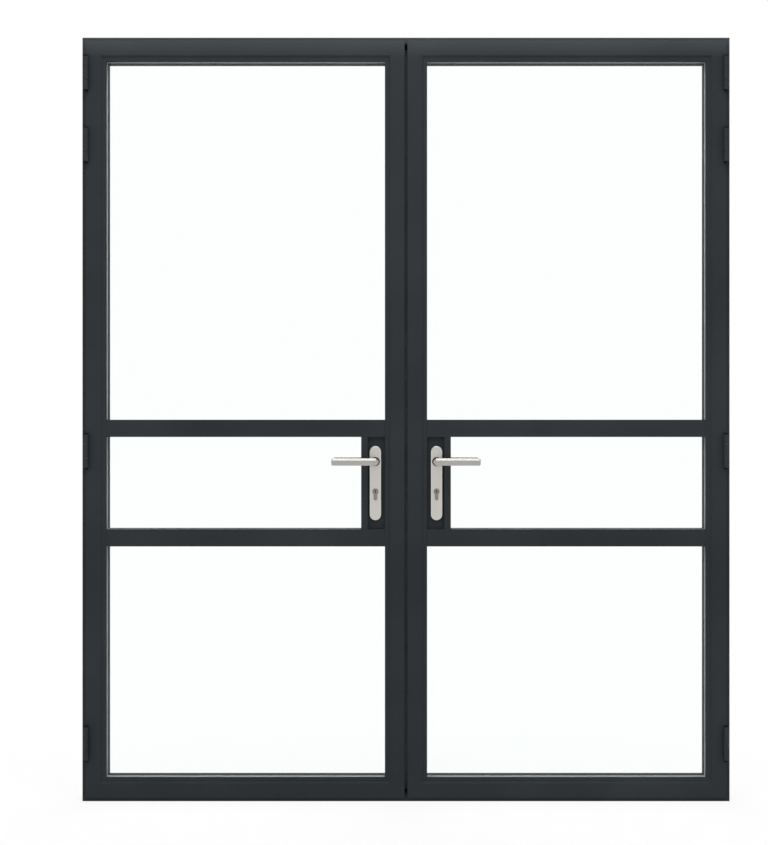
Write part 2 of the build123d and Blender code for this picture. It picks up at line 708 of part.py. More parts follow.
def lock_case():
    """The lock case on its faceplate, with the pockets that its bolts slide in."""
    with BuildPart() as piece:
        half = CASE_THICKNESS / 2
        front, back = LEAF_MIDDLE - half, LEAF_MIDDLE + half
        box_between(LEAF_NEAR, CASE_REACH, front, back, CASE_BOTTOM, CASE_TOP)
        plate = FACEPLATE_WIDTH / 2
        low, high = CASE_BOTTOM - FACEPLATE_OVERHANG, CASE_TOP + FACEPLATE_OVERHANG
        box_between(FACEPLATE_NEAR, LEAF_NEAR, LEAF_MIDDLE - plate, LEAF_MIDDLE + plate, low, high)
        for z, size, draw in ((LATCH_Z, LATCH_SIZE, LATCH_DRAW), (DEADBOLT_Z, DEADBOLT_SIZE, 0.0)):
            length, thickness, height = size
            end = FACEPLATE_NEAR + length + draw + POCKET_SPARE
            y_half = thickness / 2 + BOLT_CLEARANCE
            z_half = height / 2 + BOLT_CLEARANCE
            y0, y1 = LEAF_MIDDLE - y_half, LEAF_MIDDLE + y_half
            box_between(FACEPLATE_NEAR, end, y0, y1, z - z_half, z + z_half, Mode.SUBTRACT)
        half = CASE_SPINDLE_SLOT / 2
        x0, x1 = HANDLE_X - half, HANDLE_X + half
        box_between(x0, x1, front, back, LEVER_Z - half, LEVER_Z + half, Mode.SUBTRACT)
        half = CASE_CYLINDER_SLOT[0] / 2
        x0, x1, high = HANDLE_X - half, HANDLE_X + half, CYLINDER_Z + half
        box_between(x0, x1, front, back, high - CASE_CYLINDER_SLOT[1], high, Mode.SUBTRACT)
    return piece


def backplates():
    """The long plates behind the outside and inside levers."""
    with BuildPart() as piece:
        outside = Plane(origin=(HANDLE_X, PANEL_FRONT, PLATE_Z), x_dir=(1, 0, 0), z_dir=(0, -1, 0))
        inside = Plane(origin=(HANDLE_X, LEAF_BACK, PLATE_Z), x_dir=(-1, 0, 0), z_dir=(0, 1, 0))
        for plane in (outside, inside):
            with BuildSketch(plane):
                SlotOverall(PLATE_HEIGHT, PLATE_WIDTH, rotation=90)
            extrude(amount=PLATE_THICKNESS)
        neck_hole = NECK_RADIUS + NECK_CLEARANCE
        through(HANDLE_X, LEVER_Z, PLATE_FRONT, PLATE_BACK, neck_hole, Mode.SUBTRACT)
        with BuildSketch(cylinder_plane(PLATE_BACK)):
            add(cylinder_outline(CYLINDER_CLEARANCE))
        extrude(amount=PLATE_BACK - PLATE_FRONT, mode=Mode.SUBTRACT)
    return piece


def cylinder_body():
    with BuildPart() as piece:
        front, back = PLATE_FRONT - CYLINDER_PROUD, PLATE_BACK + CYLINDER_PROUD
        with BuildSketch(cylinder_plane(back)):
            add(cylinder_outline())
        extrude(amount=back - front)
        through(HANDLE_X, CYLINDER_Z, front, back, PLUG_RADIUS + PLUG_CLEARANCE, Mode.SUBTRACT)
    return piece


def cylinder_plug():
    """The turning plug, with a keyway at each end."""
    with BuildPart() as piece:
        front, back = PLATE_FRONT - CYLINDER_PROUD, PLATE_BACK + CYLINDER_PROUD
        through(HANDLE_X, CYLINDER_Z, front, back, PLUG_RADIUS)
        width, depth, height = KEYWAY
        x0, x1 = HANDLE_X - width / 2, HANDLE_X + width / 2
        z0, z1 = CYLINDER_Z - height / 2, CYLINDER_Z + height / 2
        for y0, y1 in ((front, front + depth), (back - depth, back)):
            box_between(x0, x1, y0, y1, z0, z1, Mode.SUBTRACT)
    return piece


def one_lever(toward, plate_face):
    """One lever: a neck out of the backplate and a flat grip with its upper edge bevelled."""
    with BuildPart() as piece:
        tail = plate_face - toward * (PLATE_THICKNESS + NECK_TAIL)
        grip_back = plate_face + toward * LEVER_STAND_OFF
        grip_front = grip_back + toward * LEVER_DEPTH
        low, high = LEVER_Z - LEVER_HEIGHT / 2, LEVER_Z + LEVER_HEIGHT / 2
        heel = HANDLE_X - LEVER_HEEL
        with BuildSketch(Plane.YZ.offset(heel)):
            with BuildLine():
                Polyline(
                    (grip_back, low),
                    (grip_front, low),
                    (grip_front, high - LEVER_BEVEL),
                    (grip_front - toward * LEVER_BEVEL, high),
                    (grip_back, high),
                    close=True,
                )
            make_face()
        extrude(amount=LEVER_LENGTH + LEVER_HEEL)
        ends = edges().filter_by(Axis.Y).filter_by(lambda edge: abs(edge.center().Y) > abs(grip_back))
        chamfer(ends, LEVER_CORNER)
        through(HANDLE_X, LEVER_Z, min(tail, grip_back), max(tail, grip_back), NECK_RADIUS)
        half = SPINDLE / 2
        socket = sorted((tail, tail + toward * SPINDLE_SOCKET))
        x0, x1 = HANDLE_X - half, HANDLE_X + half
        z0, z1 = LEVER_Z - half, LEVER_Z + half
        box_between(x0, x1, socket[0], socket[1], z0, z1, Mode.SUBTRACT)
    return piece


def levers():
    """The outside and inside levers, on one square spindle."""
    with BuildPart() as piece:
        for toward, plate_face in ((-1, PLATE_FRONT), (1, PLATE_BACK)):
            add(one_lever(toward, plate_face).part)
        half = SPINDLE / 2 - SPINDLE_CLEARANCE
        front = PLATE_FRONT + PLATE_THICKNESS + NECK_TAIL - SPINDLE_SOCKET + SPINDLE_CLEARANCE
        back = PLATE_BACK - PLATE_THICKNESS - NECK_TAIL + SPINDLE_SOCKET - SPINDLE_CLEARANCE
        box_between(HANDLE_X - half, HANDLE_X + half, front, back, LEVER_Z - half, LEVER_Z + half)
    return piece


LEAF_PIECES = {
    "hinge_stile": hinge_stile,
    "meeting_stile": meeting_stile,
    "top_rail": top_rail,
    "bottom_rail": bottom_rail,
    "mid_rails": mid_rails,
    "lock_mullion": lock_mullion,
    "lock_panel": lock_panel,
    "thermal_breaks": leaf_thermal_breaks,
    "glass_panes": glass_panes,
    "glass_spacers": glass_spacers,
    "glazing_beads": glazing_beads,
    "glazing_gaskets": glazing_gaskets,
    "leaf_seals": leaf_seals,
    "hinge_halves": leaf_hinge_halves,
    "lock_case": lock_case,
    "backplates": backplates,
    "cylinder_body": cylinder_body,
    "cylinder_plug": cylinder_plug,
    "levers": levers,
}

for name, make in LEAF_PIECES.items():
    right_piece = make()
    finish(right_piece, f"right_{name}")
    with BuildPart() as left_piece:
        mirror(right_piece.part, about=Plane.YZ)
    finish(left_piece, f"left_{name}")

# Bolts: a latch and a deadbolt in the right leaf, and two shoot bolts in the left

with BuildPart() as right_latch:
    length, thickness, height = LATCH_SIZE
    start = FACEPLATE_NEAR
    y0, y1 = LEAF_MIDDLE - thickness / 2, LEAF_MIDDLE + thickness / 2
    z0, z1 = LATCH_Z - height / 2, LATCH_Z + height / 2
    box_between(start, start + length, y0, y1, z0, z1)
    nose = edges().filter_by(Axis.Z).group_by(Axis.X)[0].sort_by(Axis.Y)[-1]
    chamfer(nose, length=LATCH_NOSE[0], length2=LATCH_NOSE[1])
finish(right_latch, "right_latch")

with BuildPart() as right_deadbolt:
    length, thickness, height = DEADBOLT_SIZE
    start = FACEPLATE_NEAR
    y0, y1 = LEAF_MIDDLE - thickness / 2, LEAF_MIDDLE + thickness / 2
    z0, z1 = DEADBOLT_Z - height / 2, DEADBOLT_Z + height / 2
    box_between(start, start + length, y0, y1, z0, z1)
    chamfer(edges().group_by(Axis.X)[0], DEADBOLT_EDGE)
finish(right_deadbolt, "right_deadbolt")

with BuildPart() as left_top_bolt:
    upright(-ROD_X, ROD_Y, CASE_TOP + ROD_GEAR_GAP, BODY_TOP - ROD_SET_BACK, ROD_RADIUS)
finish(left_top_bolt, "left_top_bolt")

with BuildPart() as left_bottom_bolt:
    upright(-ROD_X, ROD_Y, BODY_BOTTOM + ROD_SET_BACK, CASE_BOTTOM - ROD_GEAR_GAP, ROD_RADIUS)
finish(left_bottom_bolt, "left_bottom_bolt")
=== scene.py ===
import logging
import math
from collections.abc import Callable, Iterable, Sequence
from dataclasses import dataclass, field
from enum import Enum

import bmesh
import bpy
import numpy as np
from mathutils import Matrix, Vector


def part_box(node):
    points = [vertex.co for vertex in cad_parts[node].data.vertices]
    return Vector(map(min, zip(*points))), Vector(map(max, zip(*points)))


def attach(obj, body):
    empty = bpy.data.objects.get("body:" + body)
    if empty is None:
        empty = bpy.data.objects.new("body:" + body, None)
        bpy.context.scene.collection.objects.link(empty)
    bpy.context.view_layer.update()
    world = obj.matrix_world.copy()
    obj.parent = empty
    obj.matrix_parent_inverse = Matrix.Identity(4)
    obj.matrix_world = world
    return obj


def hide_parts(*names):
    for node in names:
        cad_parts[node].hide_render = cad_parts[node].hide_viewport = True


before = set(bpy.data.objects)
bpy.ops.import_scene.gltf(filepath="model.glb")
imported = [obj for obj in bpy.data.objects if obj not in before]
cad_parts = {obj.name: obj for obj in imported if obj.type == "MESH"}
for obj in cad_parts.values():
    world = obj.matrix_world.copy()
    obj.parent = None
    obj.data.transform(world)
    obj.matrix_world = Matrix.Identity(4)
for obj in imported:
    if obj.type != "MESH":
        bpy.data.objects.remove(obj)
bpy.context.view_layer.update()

# Glazed aluminium double doors in their frame, closed, seen from outside.
# Sizes are in millimetres, unless a note says metres, in the row frame: X across, Y through
# the wall, Z up.

Material = bpy.types.Material
Node = bpy.types.Node
Socket = bpy.types.NodeSocket
Tree = bpy.types.NodeTree
Span = tuple[float, float]

LOG = logging.getLogger("double_doors")
MM = 0.001
WHITE = (1.0, 1.0, 1.0, 1.0)
WHOLE = (0.0, 1.0)
ACROSS = np.array([1.0, 0.0, 0.0])
INWARDS = np.array([0.0, 1.0, 0.0])
UP = np.array([0.0, 0.0, 1.0])


class Side(Enum):
    """Which leaf a piece belongs to; the value is the sign of X."""

    LEFT = -1
    RIGHT = 1

    @property
    def prefix(self) -> str:
        """The word that the leaf's nodes and bodies start with."""
        return self.name.lower()


class Face(Enum):
    """Which face of the door a handle is on; the value is the sign of Y."""

    OUTSIDE = -1
    INSIDE = 1


class Grain(Enum):
    """The direction that a metal was brushed in, as noise cells per metre along X, Y and Z."""

    LENGTHWAYS = (30.0, 1400.0, 1400.0)
    UPRIGHT = (1400.0, 1400.0, 30.0)
    NONE = (500.0, 500.0, 500.0)


# Colours and nodes


def srgb(code: str) -> tuple[float, float, float, float]:
    """Turn an sRGB hex colour to linear light.

    Args:
        code: The colour as "#RRGGBB".

    Returns:
        Linear red, green and blue, and an alpha of 1.
    """
    parts = np.array([int(code[i : i + 2], 16) for i in (1, 3, 5)]) / 255
    linear = np.where(parts <= 0.04045, parts / 12.92, ((parts + 0.055) / 1.055) ** 2.4)
    return (float(linear[0]), float(linear[1]), float(linear[2]), 1.0)


def add_node(tree: Tree, kind: str, inputs: dict | None = None, **settings: object) -> Node:
    """Add one node with its settings and links.

    Args:
        tree: The node tree that the node goes into.
        kind: The node's type name.
        inputs: Socket name or number to a value, or to the output socket that feeds it.
        settings: Attributes of the node itself.

    Returns:
        The new node.
    """
    node = tree.nodes.new(kind)
    for name, value in settings.items():
        setattr(node, name, value)
    for name, value in (inputs or {}).items():
        if isinstance(value, Socket):
            tree.links.new(value, node.inputs[name])
        else:
            node.inputs[name].default_value = value
    return node


def noise(tree: Tree, place: Socket, scale: float, detail: float) -> Socket:
    """Add a noise pattern.

    Args:
        tree: The node tree.
        place: The socket that gives the place.
        scale: Cells per unit of the place.
        detail: How many finer layers it has.

    Returns:
        The socket with the pattern's height.
    """
    inputs = {"Vector": place, "Scale": scale, "Detail": detail}
    return add_node(tree, "ShaderNodeTexNoise", inputs).outputs[0]


def ramp(tree: Tree, value: Socket, source: Span, result: Span) -> Socket:
    """Carry a value from one range to another, held at both ends.

    Args:
        tree: The node tree.
        value: The socket with the value.
        source: The range that it comes from.
        result: The range that it goes to.

    Returns:
        The socket with the new value.
    """
    names = ("From Min", "From Max", "To Min", "To Max")
    inputs = {"Value": value, **dict(zip(names, (*source, *result)))}
    return add_node(tree, "ShaderNodeMapRange", inputs).outputs[0]


def blend(tree: Tree, share: Socket, first: str, second: str) -> Socket:
    """Blend two colours.

    Args:
        tree: The node tree.
        share: The socket with the second colour's share.
        first: The first colour as sRGB hex.
        second: The second colour as sRGB hex.

    Returns:
        The socket with the blended colour.
    """
    inputs = {0: share, 6: srgb(first), 7: srgb(second)}
    return add_node(tree, "ShaderNodeMix", inputs, data_type="RGBA").outputs[2]


def combine(tree: Tree, operation: str, first: Socket, second: Socket) -> Socket:
    """Work out one value from two, such as their sum or the larger of them."""
    return add_node(tree, "ShaderNodeMath", {0: first, 1: second}, operation=operation).outputs[0]


def eye_rays(tree: Tree, path: Node) -> Socket:
    """Tell the rays that come from the eye, straight or through glass."""
    straight, through = path.outputs["Is Camera Ray"], path.outputs["Is Transmission Ray"]
    return combine(tree, "MAXIMUM", straight, through)


# Finishes


@dataclass(frozen=True)
class Finish:
    """What every finish has; each kind adds its own pattern.

    Attributes:
        name: The material's name.
        colour: Base colour as sRGB hex.
        roughness: Mean roughness.
        metallic: 1 for bare metal, 0 for the rest.
        specular: Specular level of a coating, plastic or rubber.
    """

    name: str
    colour: str
    roughness: float
    metallic: float = 0.0
    specular: float = 0.5

    def start(self) -> tuple[Material, Tree, Node, Socket]:
        """Make the material with its shader and its coordinates.

        Returns:
            The material, its node tree, its Principled shader and its Object coordinates.
        """
        material = bpy.data.materials.new(self.name)
        material.use_nodes = True
        tree = material.node_tree
        tree.nodes.clear()
        shader = add_node(
            tree,
            "ShaderNodeBsdfPrincipled",
            {
                "Base Color": srgb(self.colour),
                "Roughness": self.roughness,
                "Metallic": self.metallic,
                "Specular IOR Level": self.specular,
            },
        )
        add_node(tree, "ShaderNodeOutputMaterial", {"Surface": shader.outputs[0]})
        return material, tree, shader, add_node(tree, "ShaderNodeTexCoord").outputs["Object"]

    def vary_gloss(self, tree: Tree, shader: Node, pattern: Socket, spread: float) -> None:
        """Let a pattern move the roughness up and down by the spread."""
        result = (self.roughness - spread, self.roughness + spread)
        tree.links.new(ramp(tree, pattern, WHOLE, result), shader.inputs["Roughness"])

    def raise_relief(
        self, tree: Tree, shader: Node, pattern: Socket, strength: float, depth_mm: float
    ) -> None:
        """Let a pattern stand out of the surface as bump.

        Args:
            tree: The material's node tree.
            shader: Its Principled shader.
            pattern: The socket with the pattern's height.
            strength: How strongly it shows, from 0 to 1.
            depth_mm: How high it stands.
        """
        inputs = {"Height": pattern, "Strength": strength, "Distance": depth_mm * MM}
        bump = add_node(tree, "ShaderNodeBump", inputs)
        tree.links.new(bump.outputs[0], shader.inputs["Normal"])

    def lay_over(self, tree: Tree, share: Socket, below: Node, above: Node) -> None:
        """Send a mix of two shaders to the material's output.

        Args:
            tree: The material's node tree.
            share: The socket with the second shader's share.
            below: The first shader.
            above: The second shader.
        """
        inputs = {0: share, 1: below.outputs[0], 2: above.outputs[0]}
        mixed = add_node(tree, "ShaderNodeMixShader", inputs)
        output = next(node for node in tree.nodes if node.type == "OUTPUT_MATERIAL")
        tree.links.new(mixed.outputs[0], output.inputs["Surface"])


@dataclass(frozen=True)
class PowderCoat(Finish):
    """Polyester powder coat on extruded aluminium, stoved at a fine texture.

    The eye gets a dark grey that is nearly even, a faint orange peel in its highlights, and
    slightly paler drifts where dust has dried on it. Towards the top of the door it is painted
    paler, a painted sheen for the light that falls on the top rails from above.

    Attributes:
        dust: The colour of the dust, and of the painted sheen, as sRGB hex.
        dust_share: The largest share of dust in the drifts.
        peel_mm: Size of the orange peel.
        peel_depth_mm: Its height.
        drift_mm: Size of the drifts.
        settled_mm: Heights between which the painted sheen grows, towards the top of the door.
        settled_share: The painted sheen's largest share.
        spread: How far the roughness moves either way.
    """

    dust: str = "#45494C"
    dust_share: float = 0.3
    peel_mm: float = 3.0
    peel_depth_mm: float = 0.2
    drift_mm: float = 420.0
    settled_mm: Span = (2044.0, 2088.0)
    settled_share: float = 0.55
    spread: float = 0.06

    def settled(self, tree: Tree, place: Socket, drift: Socket) -> Socket:
        """Work out the share of dust and of painted sheen in the coat.

        The drift's range from 0.4 to 0.9 gives from none to the dust's share. Towards the top of
        the door a share of painted sheen is added, which grows with height: the coat is painted
        paler there for the light that falls on the top rails from above.

        Args:
            tree: The material's node tree.
            place: Its coordinates.
            drift: Its drift noise.

        Returns:
            The socket with the amount.
        """
        amount = ramp(tree, drift, (0.4, 0.9), (0.0, self.dust_share))
        height = add_node(tree, "ShaderNodeSeparateXYZ", {0: place}).outputs[2]
        low, high = (value * MM for value in self.settled_mm)
        # painted sheen: the coat turns paler with height, standing for light from above on the top
        # rails
        painted_sheen = ramp(tree, height, (low, high), (0.0, self.settled_share))
        return combine(tree, "ADD", amount, painted_sheen)

    def build(self) -> Material:
        """Make the coat: dust drifts and a painted sheen tint it, the peel is bump, gloss varies.

        Returns:
            The material.
        """
        material, tree, shader, place = self.start()
        drift = noise(tree, place, 1000 / self.drift_mm, 5.0)
        colour = blend(tree, self.settled(tree, place, drift), self.colour, self.dust)
        tree.links.new(colour, shader.inputs["Base Color"])
        self.vary_gloss(tree, shader, drift, self.spread)
        # the real peel is about 1 mm, too fine to show, so it is drawn three times as coarse
        peel = noise(tree, place, 1000 / self.peel_mm, 2.0)
        self.raise_relief(tree, shader, peel, 0.12, self.peel_depth_mm)
        return material


@dataclass(frozen=True)
class BrushedMetal(Finish):
    """Bare metal with a brushed or drawn grain, such as satin stainless or zinc-plated steel.

    The eye gets a soft grey with highlights that are drawn out across the brush lines.

    Attributes:
        grain: The direction that it was brushed in.
        shade: The brush lines' darker colour as sRGB hex.
        spread: How far the roughness moves either way.
        depth_mm: Depth of the brush lines.
    """

    metallic: float = 1.0
    grain: Grain = Grain.NONE
    shade: str = "#8F8C88"
    spread: float = 0.08
    depth_mm: float = 0.01

    def build(self) -> Material:
        """Make the metal: stretched noise drives a little shade, gloss and bump.

        Returns:
            The material.
        """
        material, tree, shader, place = self.start()
        inputs = {"Vector": place, "Scale": self.grain.value}
        stretched = add_node(tree, "ShaderNodeMapping", inputs).outputs[0]
        lines = noise(tree, stretched, 1.0, 3.0)
        colour = blend(tree, lines, self.colour, self.shade)
        tree.links.new(colour, shader.inputs["Base Color"])
        self.vary_gloss(tree, shader, lines, self.spread)
        self.raise_relief(tree, shader, lines, 0.3, self.depth_mm)
        return material


@dataclass(frozen=True)
class MouldedPolymer(Finish):
    """Extruded rubber or moulded plastic with a fine matt skin.

    The eye gets a near black with a dull, slightly uneven sheen.

    Attributes:
        skin_mm: Size of the skin's texture.
        skin_depth_mm: Its height.
        bloom: The grey bloom's colour as sRGB hex.
        bloom_share: Its largest share.
    """

    skin_mm: float = 1.5
    skin_depth_mm: float = 0.1
    bloom: str = "#222324"
    bloom_share: float = 0.4

    def build(self) -> Material:
        """Make the skin: fine noise drives bump, and a grey bloom where it is high.

        Returns:
            The material.
        """
        material, tree, shader, place = self.start()
        skin = noise(tree, place, 1000 / self.skin_mm, 3.0)
        amount = ramp(tree, skin, (0.5, 0.9), (0.0, self.bloom_share))
        colour = blend(tree, amount, self.colour, self.bloom)
        tree.links.new(colour, shader.inputs["Base Color"])
        self.raise_relief(tree, shader, skin, 0.25, self.skin_depth_mm)
        return material


@dataclass(frozen=True)
class SpacerMetal(Finish):
    """Rolled and lacquered aluminium spacer bar of a glazing unit, with its row of vent holes.

    The eye gets a matt grey line round the glass with darker dots at an even pitch.

    Attributes:
        pitch_mm: From one hole to the next.
        rim: The edge of a hole, from its middle, as shares of the pitch.
        hole: A hole's colour as sRGB hex.
        hole_share: Its share in the middle of a hole.
    """

    specular: float = 0.2
    pitch_mm: float = 6.0
    rim: Span = (0.16, 0.22)
    hole: str = "#3A3B3C"
    hole_share: float = 0.5

    def build(self) -> Material:
        """Make the bar: an even grid of soft-edged dots, two fifths of the pitch wide.

        Returns:
            The material.
        """
        material, tree, shader, place = self.start()
        inputs = {"Vector": place, "Scale": 1000 / self.pitch_mm, "Randomness": 0.0}
        away = add_node(tree, "ShaderNodeTexVoronoi", inputs).outputs["Distance"]
        amount = ramp(tree, away, self.rim, (self.hole_share, 0.0))
        colour = blend(tree, amount, self.colour, self.hole)
        tree.links.new(colour, shader.inputs["Base Color"])
        return material


@dataclass(frozen=True)
class FloatGlass(Finish):
    """Clear float glass, polished on both faces.

    The eye gets what is behind it with a trace of green, and light passes to the floor.

    Attributes:
        ior: Refractive index. Real float glass has 1.52. It is set lower to match the
            photographed panes, which show hardly any reflection.
        through: Tint of the light that passes to the floor, as sRGB hex.
    """

    ior: float = 1.2
    through: str = "#FBFDFC"

    def build(self) -> Material:
        """Make the glass; rays from lamps go straight through it, so it throws no dark shadow.

        Returns:
            The material.
        """
        material, tree, shader, _ = self.start()
        shader.inputs["Transmission Weight"].default_value = 1.0
        shader.inputs["IOR"].default_value = self.ior
        path = add_node(tree, "ShaderNodeLightPath")
        clear = add_node(tree, "ShaderNodeBsdfTransparent", {"Color": srgb(self.through)})
        self.lay_over(tree, path.outputs["Is Shadow Ray"], shader, clear)
        return material


@dataclass(frozen=True)
class StudioFloor(Finish):
    """Matt white studio floor that keeps a soft shadow and is white to the eye and in glass.

    Attributes:
        glow: Share of even white near the door; the rest is lit, and takes the shadow.
        fade: Distances in metres between which even white takes over, so no horizon shows.
    """

    glow: float = 0.86
    fade: Span = (1.0, 3.0)

    def build(self) -> Material:
        """Make the floor: eye, mirror and glass rays see it mostly as even white.

        Returns:
            The material.
        """
        material, tree, shader, place = self.start()
        away = add_node(tree, "ShaderNodeVectorMath", {0: place}, operation="LENGTH")
        glow = ramp(tree, away.outputs["Value"], self.fade, (self.glow, 1.0))
        white = add_node(tree, "ShaderNodeEmission", {"Color": WHITE})
        path = add_node(tree, "ShaderNodeLightPath")
        seen = combine(tree, "MAXIMUM", eye_rays(tree, path), path.outputs["Is Glossy Ray"])
        self.lay_over(tree, combine(tree, "MULTIPLY", seen, glow), shader, white)
        return material


def made(finish: Finish) -> Material:
    """Declare a field that holds a finish's material."""
    return field(default_factory=finish.build)


@dataclass
class Finishes:
    """Every material of the door, made once.

    Attributes:
        coat: Anthracite powder coat of frame, leaves and hinges, with a painted sheen at the top.
        mill: Bare extruded aluminium of the corner cleats.
        spacer: Rolled aluminium between the panes.
        lever: Satin stainless steel, brushed along the levers, coloured darker than the plate as
            painted shade for the darker reflection that the levers show.
        plate: Satin stainless steel, brushed up the plates.
        zinc: Zinc-plated steel of bolts, lock cases and pins.
        nickel: Matt nickel on the brass key cylinders.
        polyamide: Black glass-filled plastic of the thermal breaks, collars and caps.
        rubber: Black seal and gasket rubber.
        glass: Clear float glass.
    """

    coat: Material = made(PowderCoat("powder_coat_anthracite", "#262A2D", 0.6, specular=0.1))
    mill: Material = made(BrushedMetal("mill_finish_aluminium", "#C4C5C6", 0.4))
    spacer: Material = made(SpacerMetal("spacer_bar_aluminium", "#85888A", 0.6))
    # the levers' steel is painted darker than the plate's: painted shade for their darker
    # reflection
    lever: Material = made(
        BrushedMetal(
            "satin_stainless_lever",
            "#C4C1BD",
            0.27,
            grain=Grain.LENGTHWAYS,
            shade="#A9A6A1",
            depth_mm=0.004,
        )
    )
    plate: Material = made(
        BrushedMetal("satin_stainless_plate", "#D6D3CF", 0.38, grain=Grain.UPRIGHT, shade="#C6C3BE")
    )
    zinc: Material = made(BrushedMetal("zinc_plated_steel", "#A9ABAD", 0.4, shade="#8D9092"))
    nickel: Material = made(BrushedMetal("matt_nickel_on_brass", "#9A968F", 0.33, shade="#7F7B74"))
    polyamide: Material = made(MouldedPolymer("polyamide_black", "#0C0D0E", 0.65, specular=0.08))
    rubber: Material = made(MouldedPolymer("epdm_rubber_black", "#17191A", 0.75, specular=0.12))
    glass: Material = made(FloatGlass("float_glass_clear", "#FEFFFF", 0.0))


# Surfaces


@dataclass
class Surface:
    """A mesh in the making, in millimetres.

    Attributes:
        points: Vertices, one row each.
        faces: Vertex numbers of each face.
    """

    points: np.ndarray
    faces: list[list[int]]

    def mirrored(self, side: Side) -> "Surface":
        """The same surface for the given leaf, drawn for the right one."""
        return Surface(self.points * np.array([side.value, 1.0, 1.0]), self.faces)


def rounded_outline(corners: Sequence[tuple[float, float, float]], steps: int = 6) -> np.ndarray:
    """Round the corners of a closed polygon.

    A corner p with radius r becomes the arc tangent to both sides. Its centre is on the
    bisector, r over the sine of half the angle away from p, and it starts and ends
    r over the tangent of half the angle away from p along the two sides.

    Args:
        corners: First coordinate, second coordinate and radius of each corner, in order.
        steps: Pieces that each arc is drawn in.

    Returns:
        The outline's points, one row each.
    """
    points = np.array([corner[:2] for corner in corners], float)
    pieces = []
    for index, (_, _, radius) in enumerate(corners):
        here = points[index]
        if radius <= 0:
            pieces.append(here[None])
            continue
        before = points[index - 1] - here
        after = points[(index + 1) % len(points)] - here
        before = before / np.linalg.norm(before)
        after = after / np.linalg.norm(after)
        half = math.acos(float(np.clip(before @ after, -1, 1))) / 2
        bisector = (before + after) / np.linalg.norm(before + after)
        centre = here + bisector * radius / math.sin(half)
        first = here + before * radius / math.tan(half) - centre
        last = here + after * radius / math.tan(half) - centre
        sweep = math.pi - 2 * half
        share = np.linspace(0, 1, steps + 1)[:, None]
        arc = np.sin((1 - share) * sweep) * first + np.sin(share * sweep) * last
        pieces.append(centre + arc / math.sin(sweep))
    return np.concatenate(pieces)


def rounded_rectangle(low: Span, high: Span, radii: Sequence[float], steps: int) -> np.ndarray:
    """Draw a rectangle with rounded corners.

    Args:
        low: Its corner with the lowest coordinates.
        high: Its opposite corner.
        radii: Radius of each corner, anticlockwise from the low one.
        steps: Pieces that each arc is drawn in.

    Returns:
        The outline's points, one row each.
    """
    corners = (low, (high[0], low[1]), high, (low[0], high[1]))
    return rounded_outline([(*corner, radius) for corner, radius in zip(corners, radii)], steps)


def rings_of(x: np.ndarray, y: np.ndarray, z: np.ndarray) -> np.ndarray:
    """Spread X, Y and Z to one shape and put them together as rings of points."""
    return np.stack(np.broadcast_arrays(x, y, z), -1)


def loft(rings: np.ndarray) -> Surface:
    """Join closed rings into a tube with flat ends.

    Point j of ring i is joined to point j of ring i + 1, and the first and last rings are
    filled.

    Args:
        rings: An array of rings by points by three coordinates.

    Returns:
        The closed surface.
    """
    count, size, _ = rings.shape
    here = np.arange(size)
    there = np.roll(here, -1)
    base = np.arange(count - 1)[:, None] * size
    quads = np.stack([base + here, base + there, base + size + there, base + size + here], -1)
    faces = quads.reshape(-1, 4).tolist()
    faces.append(here[::-1].tolist())
    faces.append((here + (count - 1) * size).tolist())
    return Surface(rings.reshape(-1, 3), faces)


def prism(outline: np.ndarray, low: float, high: float, edge: float, reach: float) -> Surface:
    """Stand an outline up along Z, with its end edges rounded.

    Ring s lies edge times (1 - sin s) in from each end, and is scaled about the outline's
    middle by 1 - edge (1 - cos s) over the reach.

    Args:
        outline: X and Y of each point.
        low: Lower end.
        high: Upper end.
        edge: Radius of the end edges.
        reach: Half the outline's width, which sets how far the end rings are drawn in.

    Returns:
        The closed surface.
    """
    turn = np.linspace(0, math.pi / 2, 4)
    inset = edge * (1 - np.sin(turn))
    rise = edge * (1 - np.cos(turn))
    heights = np.concatenate([low + rise, high - rise[::-1]])
    scale = 1 - np.concatenate([inset, inset[::-1]]) / reach
    middle = (outline.max(0) + outline.min(0)) / 2
    flat = middle + (outline - middle)[None] * scale[:, None, None]
    return loft(rings_of(flat[..., 0], flat[..., 1], heights[:, None]))


def turned(
    profile: np.ndarray, centre: Sequence[float], axis: np.ndarray, steps: int
) -> Surface:
    """Turn a profile round an axis.

    Point (r, t) of the profile goes to centre + t axis + r (cos a e1 + sin a e2), where e1
    and e2 are square to the axis and a goes once round.

    Args:
        profile: Radius and distance along the axis of each point.
        centre: Where the axis starts.
        axis: Its direction, of length 1.
        steps: Pieces of the full turn.

    Returns:
        The closed surface, whose first and last rings are filled.
    """
    first = np.cross(axis, UP) if abs(axis @ UP) < 0.9 else ACROSS
    first = first / np.linalg.norm(first)
    second = np.cross(axis, first)
    angle = np.linspace(0, 2 * math.pi, steps, endpoint=False)
    circle = np.cos(angle)[:, None] * first + np.sin(angle)[:, None] * second
    radius, along = profile[:, 0, None, None], profile[:, 1, None, None]
    return loft(np.array(centre) + along * axis + radius * circle)


def joined(surfaces: Sequence[Surface], sides: Iterable[Side]) -> Surface:
    """Put several surfaces into one, in which they stay separate shells.

    Args:
        surfaces: The surfaces, in order, drawn for the right leaf.
        sides: The leaves that they are wanted for.

    Returns:
        The surface with all their points and faces.
    """
    shells = [surface.mirrored(side) for side in sides for surface in surfaces]
    starts = np.cumsum([0] + [len(shell.points) for shell in shells[:-1]]).tolist()
    faces = [
        [start + number for number in face]
        for shell, start in zip(shells, starts)
        for face in shell.faces
    ]
    return Surface(np.concatenate([shell.points for shell in shells]), faces)


